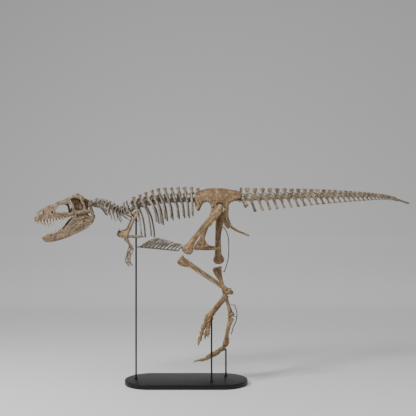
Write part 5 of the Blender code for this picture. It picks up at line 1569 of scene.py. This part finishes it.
def toe(side, number):
    """Separate toe bones with pulley ends, and a curved claw with a heel beneath its base."""
    axis = (Vector(BALL[side]) - Vector(FOOT_TOP[side])).normalized()
    shorter = {2: 0.028, 3: 0.0, 4: 0.024}[number]
    start = Vector(BALL[side]) + axis * (TOE_GAP[side] - shorter + 0.004)
    start += Vector((0.004 + (TOE_ASIDE[number] if side == LEFT else 0.0), side * TOE_OFFSET[number], 0))
    forms, bones = [], TOES[(side, number)]
    for order, (size, pitch) in enumerate(bones):
        angle = math.radians(pitch)
        heading = Vector((-math.cos(angle), side * TOE_SPLAY[number], -math.sin(angle))).normalized()
        thick = TOE_RADIUS[number] * (1.46 if side == LEFT else 1.26) * (1.0 - 0.1 * order)
        seat = bone_frame(start, start + heading * size)
        if order == len(bones) - 1:
            rows = [(0, 0, -0.006, thick * 0.7, thick * 1.06),
                (-0.003, 0, -0.14 * size, thick * 0.6, thick * 0.98),
                (-0.01, 0, -0.38 * size, thick * 0.48, thick * 0.72),
                (-0.012, 0, -0.68 * size, thick * 0.34, thick * 0.48),
                (0, 0, -0.9 * size, thick * 0.16, thick * 0.2)]
            claw = [tube(rows, power=2.2),
                tube([(0.016, 0, -0.01, thick * 0.4, thick * 0.38),
                    (0.016, 0, -0.15 * size, thick * 0.32, thick * 0.34)])]
            forms += placed(claw, seat)
        else:
            gap = 0.0042
            rows = [(0, 0, -gap, thick * 0.98, thick * 1.0), (0, 0, -0.13 * size, thick * 1.0, thick * 1.02),
                (0, 0, -0.34 * size, thick * 0.72, thick * 0.68),
                (0, 0, -0.58 * size, thick * 0.64, thick * 0.58),
                (0, 0, -0.8 * size, thick * 0.84, thick * 0.8)]
            parts = [tube(rows, power=2.3, tip=0.15)]
            for turn in SIDES:
                parts.append(tube([(0, turn * thick * 0.24, -0.78 * size, thick * 0.4, thick * 0.6),
                    (0, turn * thick * 0.5, -0.88 * size, thick * 0.5, thick * 0.98),
                    (0, turn * thick * 0.5, -size + gap + 0.008, thick * 0.46, thick * 0.8)], sides=16))
            forms += placed(parts, seat)
        start = start + heading * size
    word = SIDE_NAME[side]
    bone(f"toe_bones_{number}_{word}", forms, "tan", f"toe_{number}_{word}", voxel=0.0034, smooth=2,
        lumps=(0.0014, 0.0006))


# ---- studio ----
def studio():
    """A pale floor that curves up behind, soft lights, a pale world and the camera."""
    look = bpy.context.scene.studio_look
    shade = Look("studio_paper")
    shade.finish((*look.paper, 1), 0.85)
    rows = [(-16.0, 0.0), (9.0, 0.0), (11.6, 0.0), (12.8, 0.3), (13.5, 1.1), (13.8, 2.4), (13.9, 4.4),
        (13.9, 16.0)]
    line = even([(y, z, 0) for y, z in rows], 0.25)
    points, faces = [], []
    for y, z, _ in line:
        points += [(-22.0, y, z), (22.0, y, z)]
    for i in range(len(line) - 1):
        faces.append((2 * i, 2 * i + 1, 2 * i + 3, 2 * i + 2))
    data = bpy.data.meshes.new("studio_floor")
    data.from_pydata(points, [], faces)
    data.update()
    data.shade_smooth()
    data.materials.append(shade.material)
    floor = bpy.data.objects.new("studio_floor", data)
    bpy.context.scene.collection.objects.link(floor)
    for name, place, aim, size, power in (
            ("sky_light", (-1.6, -3.4, 8.0), (0, 0, 1.0), 0, look.sky_power),
            ("key_light", (-5.2, -4.0, 6.2), (0.3, 0, 1.8), 1.7, look.key_power),
            ("side_light", (4.8, -3.4, 3.2), (0.6, 0, 1.8), 3.0, look.side_power)):
        data = bpy.data.lights.new(name, "AREA" if size else "SUN")
        if size:
            data.shape = "DISK"
            data.size = size
        else:
            data.angle = math.radians(30)
        data.energy = power
        lamp = bpy.data.objects.new(name, data)
        lamp.location = place
        lamp.rotation_euler = (Vector(aim) - Vector(place)).to_track_quat("-Z", "Y").to_euler()
        bpy.context.scene.collection.objects.link(lamp)
    world = bpy.data.worlds.new("studio_air")
    world.use_nodes = True
    ground = world.node_tree.nodes["Background"]
    ground.inputs["Color"].default_value = (*look.air, 1)
    ground.inputs["Strength"].default_value = look.air_strength
    bpy.context.scene.world = world
    lens = bpy.data.cameras.new("studio_camera")
    lens.sensor_width = 36.0
    lens.lens = look.lens
    lens.shift_x = 0.001
    lens.shift_y = 0.1224
    camera = bpy.data.objects.new("studio_camera", lens)
    camera.location = look.camera_place
    camera.rotation_euler = (math.radians(90), 0, 0)
    bpy.context.scene.collection.objects.link(camera)
    bpy.context.scene.camera = camera


# ---- settings ----
def tone(label, colour, where):
    """A colour setting."""
    return FloatVectorProperty(name=label, description=where, subtype="COLOR", size=3, min=0.0, max=1.0,
        default=colour)


class BoneSurface(bpy.types.PropertyGroup):
    """How finely and how roughly bones are made"""
    voxel: FloatProperty(name="Detail", description="Size of the grid that merges large bones",
        default=0.0042, min=0.002, max=0.02, subtype="DISTANCE", unit="LENGTH")
    coarseness: FloatProperty(name="Coarseness", description="Scales the grid of every bone", default=1.2,
        min=0.7, max=4.0)
    weathering: FloatProperty(name="Weathering", description="Strength of the lumps in the bone surface",
        default=1.0, min=0.0, max=3.0)


class BoneTones(bpy.types.PropertyGroup):
    """Colours of the fossil bone in each part of the mount"""
    # Each dark tone colours cracks, pores and stains, and also paints shade into the hollows of the bone.
    tan_light: tone("Limbs light", (0.44, 0.274, 0.116), "Worn edges of leg and hip bones")
    tan_middle: tone("Limbs", (0.19, 0.1, 0.034), "Leg and hip bones")
    tan_dark: tone("Limbs dark", (0.045, 0.024, 0.01), "Hollows and cracks of leg and hip bones")
    skull_light: tone("Skull light", (0.37, 0.256, 0.152), "Worn edges of the skull and jaw")
    skull_middle: tone("Skull", (0.18, 0.114, 0.06), "Skull and jaw")
    skull_dark: tone("Skull dark", (0.038, 0.024, 0.013), "Hollows and cracks of the skull and jaw")
    grey_light: tone("Trunk light", (0.35, 0.292, 0.218), "Worn edges of the neck and ribs")
    grey_middle: tone("Trunk", (0.135, 0.108, 0.075), "Neck and ribs")
    grey_dark: tone("Trunk dark", (0.034, 0.027, 0.018), "Hollows and cracks of the neck and ribs")
    tail_light: tone("Tail light", (0.45, 0.35, 0.24), "Worn edges of the tail")
    tail_middle: tone("Tail", (0.195, 0.14, 0.084), "Tail")
    tail_dark: tone("Tail dark", (0.042, 0.028, 0.016), "Hollows and cracks of the tail")


class StandSizes(bpy.types.PropertyGroup):
    """Sizes of the stand"""
    base_width: FloatProperty(name="Base width", description="Width of the base plate", default=0.77,
        min=0.5, max=0.78, unit="LENGTH")
    base_length: FloatProperty(name="Base length", description="Length of the base plate", default=1.81,
        min=1.5, max=1.82, unit="LENGTH")
    base_edge: FloatProperty(name="Base edge", description="Rounding of the base's edge", default=0.008,
        min=0.001, max=0.02, unit="LENGTH")
    rod_radius: FloatProperty(name="Rod radius", description="Half thickness of the rods", default=0.0122,
        min=0.004, max=0.014, unit="LENGTH")


class SkullSizes(bpy.types.PropertyGroup):
    """Pose and teeth of the skull"""
    skull_pitch: FloatProperty(name="Skull pitch", description="How far the snout is lowered, in degrees",
        default=10.0, min=5.0, max=15.0)
    jaw_pitch: FloatProperty(name="Jaw pitch", description="How far the jaw is lowered, in degrees",
        default=24.0, min=18.0, max=28.0)
    voxel: FloatProperty(name="Detail", description="Size of the grid that merges the skull", default=0.003,
        min=0.0015, max=0.02, subtype="DISTANCE", unit="LENGTH")
    upper_teeth: IntProperty(name="Upper teeth", description="Teeth on each side of the upper jaw",
        default=14, min=6, max=20)
    lower_teeth: IntProperty(name="Lower teeth", description="Teeth on each side of the lower jaw",
        default=12, min=6, max=18)


class SpineSizes(bpy.types.PropertyGroup):
    """Sizes of the backbone"""
    voxel: FloatProperty(name="Detail", description="Size of the grid that merges the backbone",
        default=0.0034, min=0.0015, max=0.02, subtype="DISTANCE", unit="LENGTH")
    disc_gap: FloatProperty(name="Disc gap", description="Gap between the bodies of vertebrae",
        default=0.009, min=0.002, max=0.02, unit="LENGTH")


class TrunkSizes(bpy.types.PropertyGroup):
    """Sizes of the ribs and the belly basket"""
    rib_width: FloatProperty(name="Rib width", description="Half width of a rib along the body",
        default=0.014, min=0.006, max=0.015, unit="LENGTH")
    belly_rows: IntProperty(name="Belly rows", description="Rows of belly rods", default=11, min=6, max=18)
    belly_rod: FloatProperty(name="Belly rod", description="Half thickness of a belly rod", default=0.0074,
        min=0.003, max=0.008, unit="LENGTH")


class StudioLook(bpy.types.PropertyGroup):
    """Light, paper and camera"""
    paper: tone("Paper", (0.84, 0.84, 0.84), "Colour of the floor and backdrop")
    air: tone("Air", (1.0, 1.0, 1.0), "Colour of the light from all around")
    air_strength: FloatProperty(name="Air strength", description="Strength of the light from all around",
        default=0.2, min=0.0, max=5.0)
    key_power: FloatProperty(name="Key light", description="Power of the main light", default=560.0, min=0.0,
        unit="POWER")
    sky_power: FloatProperty(name="Sky light", description="Strength of the wide light from above",
        default=0.95, min=0.0)
    side_power: FloatProperty(name="Side light", description="Power of the light at the tail", default=60.0,
        min=0.0, unit="POWER")
    lens: FloatProperty(name="Lens", description="Focal length in millimetres", default=43.875, min=20.0,
        max=120.0)
    camera_place: FloatVectorProperty(name="Camera place", description="Where the camera stands",
        subtype="TRANSLATION", size=3, default=(0.3145, -7.5, 1.841))


# ---- operators and panel ----
class BuildOperator:
    """Shared by the operators: runs the builders listed in a class"""
    bl_options = {"REGISTER", "UNDO"}
    steps = ()

    def execute(self, context):
        for step in self.steps:
            step()
        return {"FINISHED"}


class SKELETON_OT_stand(BuildOperator, bpy.types.Operator):
    """Build the black base, its rods and the straps behind the right leg"""
    bl_idname = "skeleton.stand"
    bl_label = "Stand"
    steps = (stand_base, stand_rods)


class SKELETON_OT_head(BuildOperator, bpy.types.Operator):
    """Build the skull, the lower jaw and their teeth"""
    bl_idname = "skeleton.head"
    bl_label = "Skull and jaw"
    steps = (skull, mandible)


class SKELETON_OT_spine(BuildOperator, bpy.types.Operator):
    """Build the neck, back, sacrum and tail, with the ribs"""
    bl_idname = "skeleton.spine"
    bl_label = "Backbone and ribs"
    steps = (neck, rib_cage, sacrum, tail)


class SKELETON_OT_belly(BuildOperator, bpy.types.Operator):
    """Build the belly rods, breast plates and wishbone"""
    bl_idname = "skeleton.belly"
    bl_label = "Belly and breast"
    steps = (belly_ribs, breast_plates, wishbone)


class SKELETON_OT_arms(bpy.types.Operator):
    """Build the shoulder blades and arms"""
    bl_idname = "skeleton.arms"
    bl_label = "Shoulders and arms"

    def execute(self, context):
        for side in SIDES:
            shoulder(side)
            arm(side)
        return {"FINISHED"}


class SKELETON_OT_pelvis(bpy.types.Operator):
    """Build the hip blades, pubic bones and ischia"""
    bl_idname = "skeleton.pelvis"
    bl_label = "Pelvis"

    def execute(self, context):
        pubes()
        for side in SIDES:
            hip_blade(side)
            ischia(side)
        return {"FINISHED"}


class SKELETON_OT_legs(bpy.types.Operator):
    """Build the thighs, shins, feet and toes"""
    bl_idname = "skeleton.legs"
    bl_label = "Legs and feet"

    def execute(self, context):
        for side in SIDES:
            thigh(side)
            lower_leg(side)
            foot(side)
            for number in TOE_OFFSET:
                toe(side, number)
        return {"FINISHED"}


class SKELETON_OT_studio(BuildOperator, bpy.types.Operator):
    """Build the floor, lights and camera"""
    bl_idname = "skeleton.studio"
    bl_label = "Studio"
    steps = (studio,)


SETTINGS = (("bone_surface", BoneSurface), ("bone_tones", BoneTones), ("stand_sizes", StandSizes),
    ("skull_sizes", SkullSizes), ("spine_sizes", SpineSizes), ("trunk_sizes", TrunkSizes),
    ("studio_look", StudioLook))
OPERATORS = (SKELETON_OT_stand, SKELETON_OT_head, SKELETON_OT_spine, SKELETON_OT_belly, SKELETON_OT_arms,
    SKELETON_OT_pelvis, SKELETON_OT_legs, SKELETON_OT_studio)


class SKELETON_PT_panel(bpy.types.Panel):
    """Lists the build steps and their settings"""
    bl_idname = "SKELETON_PT_panel"
    bl_label = "Mounted skeleton"
    bl_space_type = "VIEW_3D"
    bl_region_type = "UI"
    bl_category = "Skeleton"

    def draw(self, context):
        for operator in OPERATORS:
            self.layout.operator(operator.bl_idname)
        for name, group in SETTINGS:
            box = self.layout.box()
            box.label(text=group.__doc__)
            for key in group.__annotations__:
                box.prop(getattr(context.scene, name), key)


def register():
    for name, group in SETTINGS:
        bpy.utils.register_class(group)
        setattr(bpy.types.Scene, name, PointerProperty(type=group))
    for item in OPERATORS + (SKELETON_PT_panel,):
        bpy.utils.register_class(item)


def unregister():
    for item in (SKELETON_PT_panel,) + OPERATORS[::-1]:
        bpy.utils.unregister_class(item)
    for name, group in SETTINGS[::-1]:
        delattr(bpy.types.Scene, name)
        bpy.utils.unregister_class(group)


def main():
    register()
    bpy.ops.skeleton.stand()
    bpy.ops.skeleton.head()
    bpy.ops.skeleton.spine()
    bpy.ops.skeleton.belly()
    bpy.ops.skeleton.arms()
    bpy.ops.skeleton.pelvis()
    bpy.ops.skeleton.legs()
    bpy.ops.skeleton.studio()


if __name__ == "__main__":
    main()
